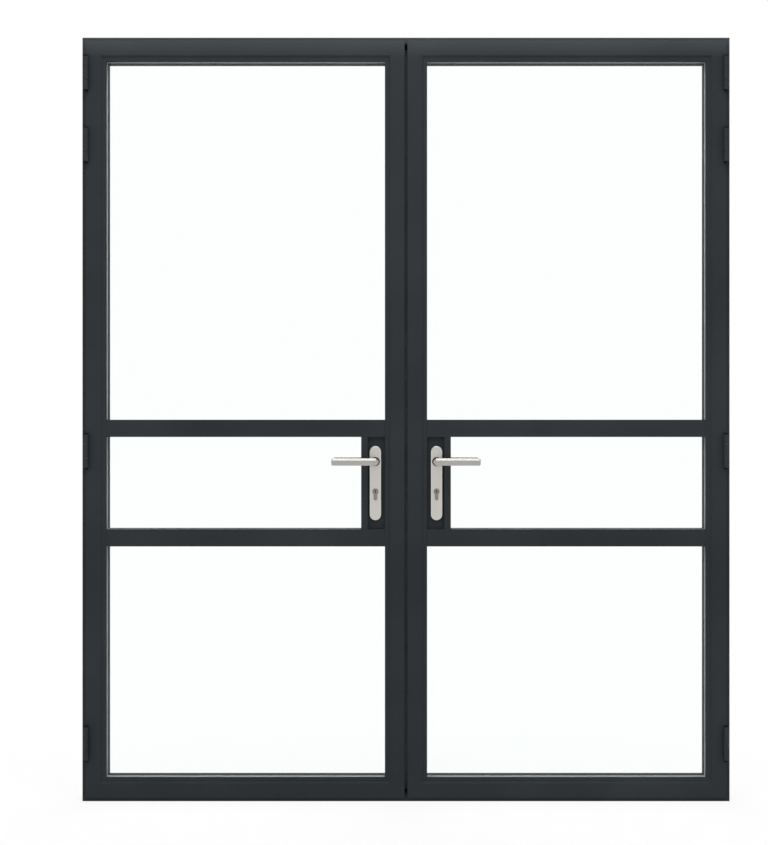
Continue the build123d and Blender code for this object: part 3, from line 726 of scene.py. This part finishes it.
def finish_shading(piece: bpy.types.Object, angle: float = 32.0) -> None:
    """Smooth a piece across shallow edges and keep its flats flat.

    Args:
        piece: The object.
        angle: Edges sharper than this, in degrees, stay sharp.
    """
    mesh = piece.data
    mesh.polygons.foreach_set("use_smooth", np.ones(len(mesh.polygons), bool))
    mesh.set_sharp_from_angle(angle=math.radians(angle))
    weigh = piece.modifiers.new("flat_faces", "WEIGHTED_NORMAL")
    weigh.keep_sharp = True


def linked(name: str, data: bpy.types.ID) -> bpy.types.Object:
    """Make an object of a mesh, camera or lamp, and put it into the scene.

    Args:
        name: The object's name.
        data: What it shows.

    Returns:
        The object.
    """
    thing = bpy.data.objects.new(name, data)
    bpy.context.scene.collection.objects.link(thing)
    return thing


def new_piece(
    name: str,
    surface: Surface,
    material: Material,
    body: str,
    stands_for: Sequence[str] = (),
) -> bpy.types.Object:
    """Make an object of a surface and seat it in the frame.

    Args:
        name: The object's name.
        surface: Its shape, in millimetres.
        material: Its finish.
        body: The CAD body that it rides on.
        stands_for: CAD nodes that it replaces.

    Returns:
        The object.
    """
    mesh = bpy.data.meshes.new(name)
    mesh.from_pydata((surface.points * MM).tolist(), [], surface.faces)
    work = bmesh.new()
    work.from_mesh(mesh)
    bmesh.ops.remove_doubles(work, verts=work.verts, dist=1e-7)
    bmesh.ops.recalc_face_normals(work, faces=work.faces)
    work.to_mesh(mesh)
    work.free()
    mesh.materials.append(material)
    piece = linked(name, mesh)
    finish_shading(piece)
    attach(piece, body)
    if stands_for:
        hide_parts(*stands_for)
    LOG.info("%s: %d faces on %s", name, len(mesh.polygons), body)
    return piece


@dataclass(frozen=True)
class FaceSlope:
    """The slope from a leaf's raised face down to the band beside its glass.

    The corners of its edge and of the wall's foot below are the points where the bars' mitres
    end. They move inwards along the mitres, and the edge's own fall back almost to the band, so
    the small chamfer becomes the wide slope of the real profile.

    Attributes:
        low: X and Z of the face's lower corner nearest the origin.
        high: X and Z of its opposite corner.
        front: The face, through the wall.
        chamfer: The chamfer's size.
        start: How far inwards the face's corners move.
        reach: How far inwards the lower corners move.
        step: The depth from face to band.
        lip: What is left of the wall at the slope's foot.
        near_share: The meeting stile's width as a share of the other bars'.
        catch: How far from a corner's own place a vertex still counts as that corner.
        level: How far off a depth it still counts as being at it.
    """

    low: tuple[float, float]
    high: tuple[float, float]
    front: float = -42.0
    chamfer: float = 1.0
    start: float = 1.3
    reach: float = 4.7
    step: float = 4.0
    lip: float = 0.3
    near_share: float = 54.3 / 56.5
    catch: float = 1.6
    level: float = 0.05

    def apply(self, mesh: bpy.types.Mesh) -> None:
        """Widen the slope in one bar's mesh, on either leaf.

        Args:
            mesh: The bar's mesh, which is changed.
        """
        points = np.empty(len(mesh.vertices) * 3, np.float32)
        mesh.vertices.foreach_get("co", points)
        points = points.reshape(-1, 3).astype(float) / MM
        across = np.abs(points[:, 0])
        for is_far, x in enumerate((self.low[0], self.high[0])):
            for is_top, z in enumerate((self.low[1], self.high[1])):
                away = np.maximum(np.abs(across - x), np.abs(points[:, 2] - z))
                close, depth = away < self.catch, points[:, 1] - self.front
                face = close & (np.abs(depth) < self.level)
                rim = close & (np.abs(depth - self.chamfer) < self.level)
                foot = close & (np.abs(depth - self.step) < self.level)
                share = -1.0 if is_far else self.near_share
                for part, move in ((face, self.start), (rim | foot, self.reach)):
                    points[part, 0] += np.sign(points[part, 0]) * move * share
                    points[part, 2] += -move if is_top else move
                points[rim, 1] = self.front + self.step - self.lip
        mesh.vertices.foreach_set("co", (points * MM).astype(np.float32).ravel())
        mesh.update()


def softened(
    node: str,
    material: Material,
    body: str,
    edge: float,
    segments: int = 2,
    slope: FaceSlope | None = None,
) -> bpy.types.Object:
    """Replace a CAD node by a merged copy of it with eased edges.

    Args:
        node: The CAD node.
        material: Its finish.
        body: The body that it rides on.
        edge: How wide the eased edges are, in millimetres.
        segments: Pieces across an eased edge.
        slope: The slope that the piece's face falls away in, if it has one.

    Returns:
        The object that stands for the node.
    """
    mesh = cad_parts[node].data.copy()
    mesh.name = f"{node}_eased"
    if "custom_normal" in mesh.attributes:
        mesh.attributes.remove(mesh.attributes["custom_normal"])
    work = bmesh.new()
    work.from_mesh(mesh)
    bmesh.ops.remove_doubles(work, verts=work.verts, dist=1e-6)
    bmesh.ops.dissolve_limit(
        work, angle_limit=math.radians(0.5), verts=work.verts, edges=work.edges
    )
    for edge_line in work.edges:
        edge_line.smooth = True
    work.to_mesh(mesh)
    work.free()
    if slope:
        slope.apply(mesh)
    mesh.materials.clear()
    mesh.materials.append(material)
    piece = linked(mesh.name, mesh)
    ease = piece.modifiers.new("eased_edges", "BEVEL")
    ease.width = edge * MM
    ease.segments = segments
    ease.limit_method = "ANGLE"
    ease.angle_limit = math.radians(25)
    ease.use_clamp_overlap = True
    finish_shading(piece, 40.0)
    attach(piece, body)
    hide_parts(node)
    LOG.info("%s: edges eased by %.2f mm", node, edge)
    return piece


def dressed(node: str, material: Material) -> None:
    """Give a CAD node that stays as it is its finish.

    Args:
        node: The CAD node.
        material: Its finish.
    """
    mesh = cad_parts[node].data
    mesh.materials.clear()
    mesh.materials.append(material)
    LOG.info("%s: dressed in %s", node, material.name)


# Sub-assemblies


@dataclass
class OuterFrame:
    """The four-sided frame in the wall opening.

    Attributes:
        finishes: The door's materials.
        body: The CAD body.
        edge: Eased edges of the aluminium, in millimetres.
    """

    finishes: Finishes
    body: str = "frame"
    edge: float = 0.4

    def build(self) -> None:
        """Make the bars, their hidden pieces and the bolt keeps."""
        for bar in ("left_jamb", "right_jamb", "head", "sill"):
            softened(f"frame_{bar}", self.finishes.coat, self.body, self.edge)
        dressed("frame_thermal_breaks", self.finishes.polyamide)
        dressed("frame_stop_seal", self.finishes.rubber)
        dressed("frame_corner_cleats", self.finishes.mill)
        softened("bolt_keeps", self.finishes.zinc, self.body, 0.2)


@dataclass
class Hinges:
    """Surface hinges: round barrels on feet, with dark end caps.

    Attributes:
        finishes: The door's materials.
        radius: The barrel's radius.
        pin_radius: The pin's radius.
        heights: Middle of each hinge.
        half_length: Half a hinge's length.
        leaf_half: Half the leaf knuckle's length.
        gap: Space between knuckles.
        cap: Thickness of an end cap.
        clear: How far the barrel stands off the leaf.
        foot_x: Where the frame's foot starts, outside the leaf's edge.
        frame_y: The frame's front face.
        leaf_foot: Width of the leaf's foot.
        round_front: Corner radius of a barrel's front.
        round_inside: Corner radius of the frame barrel's inner rear side.
        round_outside: Corner radius of the leaf barrel's outer rear side.
        crisp: Corner radius where a foot meets the frame or the leaf.
        plinth: Width and thickness of the strip under the frame's barrels.
        cap_profile: Radius and height of each ring of an end cap.
    """

    finishes: Finishes
    radius: float = 7.0
    pin_radius: float = 4.0
    heights: tuple[float, ...] = (161.0, 963.0, 1803.0, 2000.0)
    half_length: float = 50.0
    leaf_half: float = 19.0
    gap: float = 0.5
    cap: float = 4.0
    clear: float = 0.5
    foot_x: float = 881.3
    frame_y: float = -35.0
    leaf_foot: float = 8.0
    round_front: float = 6.9
    round_inside: float = 6.4
    round_outside: float = 5.5
    crisp: float = 0.3
    plinth: Span = (6.0, 3.0)
    cap_profile: tuple[Span, ...] = (
        (6.2, 0.0),
        (6.2, 0.5),
        (6.7, 0.5),
        (6.7, 2.4),
        (6.3, 3.2),
        (5.2, 3.7),
        (2.6, 4.0),
    )

    @property
    def axis_x(self) -> float:
        """Distance of the pin from the door's middle."""
        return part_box("hinge_pins")[1][0] / MM - self.pin_radius

    @property
    def axis_y(self) -> float:
        """Where the pin stands, through the wall."""
        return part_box("hinge_pins")[0][1] / MM + self.pin_radius

    @property
    def barrel(self) -> tuple[float, float, float, float]:
        """The barrel's lowest X, highest X, front and rear."""
        x, y, radius = self.axis_x, self.axis_y, self.radius
        return x - radius, x + radius, y - radius, y + radius

    def frame_outline(self) -> np.ndarray:
        """Draw the frame knuckle: a round barrel whose outer side runs back to the frame.

        Returns:
            X and Y of each point of its section.
        """
        left, right, front, rear = self.barrel
        return rounded_outline(
            [
                (left, rear, self.round_inside),
                (left, front, self.round_front),
                (right, front, self.round_front),
                (right, self.frame_y, self.crisp),
                (self.foot_x, self.frame_y, self.crisp),
                (self.foot_x, rear, 0.4),
            ],
            10,
        )

    def leaf_outline(self) -> np.ndarray:
        """Draw the leaf knuckle: a round barrel whose inner side runs back to the leaf.

        Returns:
            X and Y of each point of its section.
        """
        left, right, front, rear = self.barrel
        return rounded_outline(
            [
                (left, rear + self.clear, 0.2),
                (left, front, self.round_front),
                (right, front, self.round_front),
                (right, rear, self.round_outside),
                (left + self.leaf_foot, rear, self.crisp),
                (left + self.leaf_foot, rear + self.clear, 0.0),
            ],
            10,
        )

    def cap_surface(self, height: float, up: int) -> Surface:
        """A slightly domed end cap that starts at a height and points up (1) or down (-1)."""
        centre = (self.axis_x, self.axis_y, height)
        return turned(np.array(self.cap_profile), centre, UP * up, 40)

    def build(self) -> None:
        """Make the frame's knuckles, the leaves' knuckles, the caps and the pins."""
        frame_parts, caps = [], []
        start, end = self.leaf_half + self.gap, self.half_length - self.cap
        for height in self.heights:
            for low, high in ((height - end, height - start), (height + start, height + end)):
                frame_parts.append(prism(self.frame_outline(), low, high, 0.5, self.radius))
            caps.append(self.cap_surface(height + end, 1))
            caps.append(self.cap_surface(height - end, -1))
        width, thickness = self.plinth
        low, high = (self.foot_x, self.frame_y - thickness), (self.foot_x + width, self.frame_y)
        strip = rounded_rectangle(low, high, (0.5, 0.5, 0.0, 0.0), 4)
        frame_parts += [prism(strip, z - end, z + end, 0.4, width / 2) for z in self.heights]
        coat, slot, stands_for = self.finishes.coat, "coated_aluminium", ["frame_hinge_halves"]
        both = joined(frame_parts, Side)
        new_piece("frame_hinge_knuckles", both, coat, "frame", stands_for)
        both = joined(caps, Side)
        new_piece("hinge_end_caps", both, self.finishes.polyamide, "frame")
        dressed("hinge_pins", self.finishes.zinc)
        section, half = self.leaf_outline(), self.leaf_half
        knuckles = [prism(section, z - half, z + half, 0.5, self.radius) for z in self.heights]
        for side in Side:
            name, own = side.prefix, joined(knuckles, [side])
            stands_for = [f"{name}_hinge_halves"]
            new_piece(f"{name}_hinge_knuckles", own, coat, f"{name}_leaf", stands_for)


@dataclass
class Leaf:
    """One glazed leaf: bars, rails, lock panel, glass, beads, gaskets and seals.

    Attributes:
        side: Which leaf.
        finishes: The door's materials.
        edge: Eased edges of the aluminium.
        seal_front: Front of the meeting seal's root.
        seal_back: Back of the meeting seal's root.
        seal_end: How far the meeting seal stops short of the leaf's ends.
        seal_gap: How far it stops short of the door's middle.
        seal_taper: How much its tip is set in from its root, front and back.
        seal_round: Radius of its tip's corners.
        face_width: Width of a bar's raised face, to the middle of its inner chamfer.
    """

    side: Side
    finishes: Finishes
    edge: float = 0.4
    seal_front: float = -40.0
    seal_back: float = -34.0
    seal_end: float = 30.0
    seal_gap: float = 0.02
    seal_taper: float = 0.6
    seal_round: float = 1.8
    face_width: float = 40.0

    @property
    def body(self) -> str:
        """The leaf's CAD body."""
        return f"{self.side.prefix}_leaf"

    def node(self, name: str) -> str:
        """The full name of one of the leaf's nodes."""
        return f"{self.side.prefix}_{name}"

    def slope(self) -> FaceSlope:
        """Find the slope round the leaf from its outer size and the width of its bars' faces.

        Returns:
            The slope.
        """
        meeting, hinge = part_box(self.node("meeting_stile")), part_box(self.node("hinge_stile"))
        near = min(abs(meeting[0][0]), abs(meeting[1][0])) / MM
        far = max(abs(hinge[0][0]), abs(hinge[1][0])) / MM
        bottom, top = hinge[0][2] / MM, hinge[1][2] / MM
        face = self.face_width
        share = FaceSlope.near_share
        return FaceSlope((near + face * share, bottom + face), (far - face, top - face))

    def meeting_seal(self) -> Surface:
        """The soft lip of the joint, which meets the other leaf's lip on the middle line.

        Its section is a flattened bulb from the stile's edge to X = 0, run up the joint.

        Returns:
            The lip's surface, drawn for the right leaf.
        """
        low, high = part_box(self.node("meeting_stile"))
        near = min(abs(low[0]), abs(high[0])) / MM
        outline = rounded_outline(
            [
                (near, self.seal_front, 0.0),
                (self.seal_gap, self.seal_front + self.seal_taper, self.seal_round),
                (self.seal_gap, self.seal_back - self.seal_taper, self.seal_round),
                (near, self.seal_back, 0.0),
            ],
            6,
        )
        bottom, top = low[2] / MM + self.seal_end, high[2] / MM - self.seal_end
        return prism(outline, bottom, top, 0.1, near)

    def build(self) -> None:
        """Make every piece of the leaf except its handles and locks."""
        coat, slot = self.finishes.coat, "coated_aluminium"
        for bar in ("hinge_stile", "meeting_stile", "top_rail", "bottom_rail"):
            softened(self.node(bar), coat, self.body, self.edge, slope=self.slope())
        for part, edge in (
            ("mid_rails", self.edge),
            ("lock_mullion", self.edge),
            ("lock_panel", 0.3),
            ("glazing_beads", 0.5),
        ):
            softened(self.node(part), coat, self.body, edge)
        rubber = self.finishes.rubber
        for part, material in (
            ("thermal_breaks", self.finishes.polyamide),
            ("glass_panes", self.finishes.glass),
            ("glass_spacers", self.finishes.spacer),
            ("glazing_gaskets", rubber),
            ("leaf_seals", rubber),
        ):
            dressed(self.node(part), material)
        seal = self.meeting_seal().mirrored(self.side)
        new_piece(self.node("meeting_lip"), seal, rubber, self.body)


@dataclass
class Handles:
    """The levers, backplates, collars, key cylinder and lock case of one leaf. The collars are
    drawn wide and the keyways hold black slots, both as painted shade.

    Attributes:
        side: Which leaf.
        finishes: The door's materials.
        middle_x: The handles' line, from the door's middle.
        lever_z: Height of the lever's turning axis.
        plate_z: Middle of the backplate.
        plate_size: Width, height and thickness of a backplate.
        plate_roots: Where the outside and the inside plate start, through the wall.
        rim: Radius of a plate's rounded rim.
        grip: Height, depth and upper bevel of a grip.
        reach: How far the grip runs before and behind the axis.
        stand_off: Space between a plate and its grip.
        grip_corner: Radius of the grip's ends as seen from the front.
        neck: Radius of the neck.
        key_slot: Width and height of the keyway, and how far the cylinder stands proud.
        key_z: Height of the key cylinder's axis.
        collar_profile: Radius and height of each ring of a collar, widened to paint neck shade.
        flare: How much wider the neck gets, and how far short of the grip, in each ring.
    """

    side: Side
    finishes: Finishes
    middle_x: float = 84.2
    lever_z: float = 934.0
    plate_z: float = 874.6
    plate_size: tuple[float, float, float] = (32.2, 205.0, 8.0)
    plate_roots: tuple[float, float] = (-28.0, 20.0)
    rim: float = 2.6
    grip: tuple[float, float, float] = (20.0, 12.0, 5.5)
    reach: tuple[float, float] = (5.5, 119.0)
    stand_off: float = 36.0
    grip_corner: float = 4.2
    neck: float = 8.0
    key_slot: tuple[float, float, float] = (2.18, 8.48, 3.0)
    key_z: float = 852.0
    collar_profile: tuple[Span, ...] = (
        (9.0, 0.0),
        (12.3, 0.0),
        (12.3, 0.9),
        (11.7, 1.5),
        (8.4, 1.7),
        (8.05, 1.2),
    )
    flare: tuple[Span, ...] = ((0.0, 5.0), (0.3, 3.4), (1.0, 1.9), (1.6, 0.9), (1.6, 0.0))

    def root(self, face: Face) -> float:
        """Where the plate of a face starts, through the wall."""
        return self.plate_roots[0] if face is Face.OUTSIDE else self.plate_roots[1]

    def plate(self, face: Face) -> Surface:
        """A backplate: a bar with round ends and a rounded rim.

        Ring s has the radius R - rim (1 - cos s), with its ends' centres left where they are,
        and stands at thickness - rim (1 - sin s). Its face is crowned by a third of a millimetre.

        Args:
            face: The face of the door.

        Returns:
            The plate's surface, drawn for the right leaf.
        """
        width, height, thickness = self.plate_size
        half_turn = np.linspace(0, math.pi, 25)
        angle = np.concatenate([half_turn, half_turn + math.pi])
        shift = np.repeat([1.0, -1.0], len(half_turn)) * (height - width) / 2
        turn = np.linspace(0, math.pi / 2, 7)
        rim_radius = width / 2 - self.rim * (1 - np.cos(turn))
        rim_rise = thickness - self.rim * (1 - np.sin(turn))
        radius = np.concatenate([[width / 2], rim_radius, [width / 4]])[:, None]
        rise = np.concatenate([[0.0], rim_rise, [thickness + 0.3]])[:, None]
        x = self.middle_x + radius * np.cos(angle)
        z = self.plate_z + shift + radius * np.sin(angle)
        return loft(rings_of(x, self.root(face) + face.value * rise, z))

    def collar(self, face: Face) -> Surface:
        """Turn the black bearing ring round the neck, a low rounded step on the plate, drawn wide
        so that it also paints the shade round the neck.

        Args:
            face: The face of the door.

        Returns:
            The ring's surface, drawn for the right leaf.
        """
        start = self.root(face) + face.value * (self.plate_size[2] - 0.2)
        centre = (self.middle_x, start, self.lever_z)
        return turned(np.array(self.collar_profile), centre, INWARDS * face.value, 56)

    def keyway(self, face: Face) -> Surface:
        """Painted shade in a keyway: a black upright slot set a little deep, for the hole's dark
        inside.

        Args:
            face: The face of the door.

        Returns:
            The slot's surface, drawn for the right leaf.
        """
        x, z = self.key_slot[0] / 2, self.key_slot[1] / 2
        outline = rounded_rectangle((-x, -z), (x, z), (0.4, 0.4, 0.4, 0.4), 3)
        depth = self.plate_size[2] + self.key_slot[2] + np.array([-2.0, -0.6])
        y = (self.root(face) + face.value * depth)[:, None]
        return loft(rings_of(self.middle_x + outline[:, 0], y, self.key_z + outline[:, 1]))

    def lever(self, face: Face) -> Surface:
        """One lever: a bevelled grip with rounded ends, on a round neck that widens into it.

        The grip's section is carried along X. At an end, ring s lies corner (1 - cos s) in and
        its height is cut from H to H - 2 corner (1 - sin s), which rounds the ends as seen from
        the front.

        Args:
            face: The face of the door.

        Returns:
            The grip and the neck, drawn for the right leaf.
        """
        height, depth, bevel = self.grip
        back = self.root(face) + face.value * (self.plate_size[2] + self.stand_off)
        front = back + face.value * depth
        half = height / 2
        outline = rounded_outline(
            [
                (back, -half, 1.4),
                (front, -half, 1.6),
                (front, half - bevel, 1.0),
                (front - face.value * bevel, half, 0.9),
                (back, half, 1.2),
            ],
            5,
        )
        turn = np.linspace(0, math.pi / 2, 8)
        corner = self.grip_corner
        step, squeeze = corner * (1 - np.cos(turn)), 1 - corner * (1 - np.sin(turn)) / half
        heel, tip = self.middle_x - self.reach[0], self.middle_x + self.reach[1]
        x = np.concatenate([heel + step, tip - step[::-1]])[:, None]
        scale = np.concatenate([squeeze, squeeze[::-1]])[:, None]
        grip = loft(rings_of(x, outline[:, 0], self.lever_z + scale * outline[:, 1]))
        start = self.root(face) - face.value * 4.0
        length = abs(back - start) + 1.0
        flare = [(self.neck + wider, length - short) for wider, short in self.flare]
        profile, centre = np.array([(self.neck, 0.0), *flare]), (self.middle_x, start, self.lever_z)
        return joined([grip, turned(profile, centre, INWARDS * face.value, 56)], [Side.RIGHT])

    def pair(self, draw: Callable[[Face], Surface]) -> Surface:
        """Draw a piece on both faces of this leaf."""
        return joined([draw(face) for face in Face], [self.side])

    def build(self) -> None:
        """Make the handles, the cylinder, the lock case, and black keyway slots as painted shade.
        """
        own = self.side.prefix
        leaf, plug = f"{own}_leaf", f"{own}_plug"
        use, steel, brass = self.finishes, "satin_steel", "nickel_brass"
        stands_for = [f"{own}_backplates"]
        new_piece(f"{own}_plates", self.pair(self.plate), use.plate, leaf, stands_for)
        # real black rings round the necks, drawn wider to paint the shade round each lever's neck
        new_piece(f"{own}_collars", self.pair(self.collar), use.polyamide, leaf)
        levers, stands_for = self.pair(self.lever), [f"{own}_levers"]
        new_piece(f"{own}_lever_pair", levers, use.lever, f"{own}_lever", stands_for)
        softened(f"{own}_cylinder_body", use.nickel, leaf, 0.5, 3)
        softened(f"{own}_cylinder_plug", use.nickel, plug, 0.3)
        # black slots in the keyways: painted shade for the dark inside of each keyway
        new_piece(f"{own}_keyways", self.pair(self.keyway), use.polyamide, plug)
        softened(f"{own}_lock_case", use.zinc, leaf, 0.3)


@dataclass
class Bolts:
    """The latch, the deadbolt and the shoot bolts.

    Attributes:
        finishes: The door's materials.
    """

    finishes: Finishes

    def build(self) -> None:
        """Ease the bolts' edges and dress them in zinc."""
        for node, body in (
            ("left_top_bolt", "left_upper_rod"),
            ("left_bottom_bolt", "left_lower_rod"),
            ("right_latch", "right_latch_bolt"),
            ("right_deadbolt", "right_dead_bolt"),
        ):
            softened(node, self.finishes.zinc, body, 0.4, 3)


@dataclass(frozen=True)
class Softbox:
    """One soft square lamp.

    Attributes:
        name: The lamp's name.
        place: Where it hangs, in metres.
        target: The point that it faces, in metres.
        size: Its side, in metres.
        power: Its power, in watts.
    """

    name: str
    place: tuple[float, float, float]
    target: tuple[float, float, float]
    size: float
    power: float

    def hang(self) -> None:
        """Put the lamp into the scene."""
        data = bpy.data.lights.new(self.name, "AREA")
        data.shape = "SQUARE"
        data.size = self.size
        data.energy = self.power
        lamp = linked(self.name, data)
        lamp.location = self.place
        aim = Vector(self.target) - Vector(self.place)
        lamp.rotation_euler = aim.to_track_quat("-Z", "Y").to_euler()


@dataclass
class Studio:
    """Floor, light and camera.

    Attributes:
        image_px: The photograph's width and height, in pixels.
        middle_px: Column of the door's middle.
        sill_px: Row of the frame's lower edge.
        mm_per_px: Size of a pixel at the frame's front face.
        distance: From the camera to the frame's front face.
        frame_y: The frame's front face.
        ambient: Light that surfaces get from all round, at eye level and from straight above.
        level_gloss: What mirrors see at eye level; it rises to white overhead.
        gloss_rise: Upward parts of a direction between which it rises.
        sensor: The camera's sensor width.
        floor_m: Half the floor's side, in metres.
        floor_gap_m: How far the floor lies under the sill, in metres.
        lamps: The lamps.
    """

    image_px: tuple[int, int] = (768, 845)
    middle_px: float = 406.0
    sill_px: float = 801.15
    mm_per_px: float = 2.7508
    distance: float = 4250.0
    frame_y: float = -35.0
    ambient: tuple[float, float] = (0.42, 1.35)
    level_gloss: float = 0.67
    gloss_rise: Span = (0.1, 0.8)
    sensor: float = 36.0
    floor_m: float = 30.0
    floor_gap_m: float = 0.0005
    lamps: tuple[Softbox, ...] = (
        Softbox("softbox_over_front", (0.0, -1.45, 4.0), (0.0, 0.0, 1.6), 2.6, 55.0),
        Softbox("fill_from_left", (-3.6, -2.4, 1.0), (0.0, 0.0, 0.8), 1.6, 16.0),
        Softbox("fill_from_right", (3.6, -2.4, 1.0), (0.0, 0.0, 0.8), 1.6, 16.0),
        Softbox("softbox_behind", (0.0, 2.2, 3.8), (0.0, 0.0, 1.2), 2.2, 50.0),
    )

    def camera(self) -> None:
        """Place the camera straight in front, at the height of the image's middle row."""
        data = bpy.data.cameras.new("front_camera")
        data.sensor_fit = "HORIZONTAL"
        data.sensor_width = self.sensor
        data.lens = self.sensor * self.distance / (self.image_px[0] * self.mm_per_px)
        data.shift_x = (self.image_px[0] / 2 - self.middle_px) / self.image_px[0]
        data.clip_end = 100.0
        camera = linked("front_camera", data)
        height = (self.sill_px - self.image_px[1] / 2) * self.mm_per_px
        camera.location = Vector((0.0, self.frame_y - self.distance, height)) * MM
        camera.rotation_euler = (math.radians(90), 0.0, 0.0)
        bpy.context.scene.camera = camera

    def world(self) -> None:
        """White to the eye, in glass and in mirrors, and a plain ambient light for the rest."""
        world = bpy.data.worlds.new("studio_white")
        bpy.context.scene.world = world
        world.use_nodes = True
        tree = world.node_tree
        tree.nodes.clear()
        path = add_node(tree, "ShaderNodeLightPath")
        direction = add_node(tree, "ShaderNodeTexCoord")
        up = add_node(tree, "ShaderNodeSeparateXYZ", {0: direction.outputs["Generated"]}).outputs[2]
        gradient = ramp(tree, up, self.gloss_rise, (self.level_gloss, 1.0))
        dome = ramp(tree, up, WHOLE, self.ambient)
        inputs = {0: path.outputs["Is Glossy Ray"], 2: dome, 3: gradient}
        lit = add_node(tree, "ShaderNodeMix", inputs).outputs[0]
        inputs = {0: eye_rays(tree, path), 2: lit, 3: 1.0}
        strength = add_node(tree, "ShaderNodeMix", inputs).outputs[0]
        back = add_node(tree, "ShaderNodeBackground", {"Color": WHITE, "Strength": strength})
        add_node(tree, "ShaderNodeOutputWorld", {"Surface": back.outputs[0]})

    def floor(self) -> None:
        """Lay the floor just under the sill."""
        mesh = bpy.data.meshes.new("studio_floor")
        turns = ((-1, -1), (1, -1), (1, 1), (-1, 1))
        corners = [(x * self.floor_m, y * self.floor_m, -self.floor_gap_m) for x, y in turns]
        mesh.from_pydata(corners, [], [(0, 1, 2, 3)])
        mesh.materials.append(StudioFloor("studio_floor_white", "#DADADA", 0.9).build())
        floor = linked("studio_floor", mesh)

    def build(self) -> None:
        """Set up the view, the floor, the light and the camera."""
        bpy.context.scene.view_settings.view_transform = "Standard"
        self.world()
        self.floor()
        for lamp in self.lamps:
            lamp.hang()
        self.camera()


def main() -> None:
    """Build the doors and the studio, piece by piece."""
    logging.basicConfig(level=logging.INFO, format="%(name)s: %(message)s")
    finishes = Finishes()
    OuterFrame(finishes).build()
    Hinges(finishes).build()
    for side in Side:
        Leaf(side, finishes).build()
        Handles(side, finishes).build()
    Bolts(finishes).build()
    Studio().build()


if __name__ == "__main__":
    main()
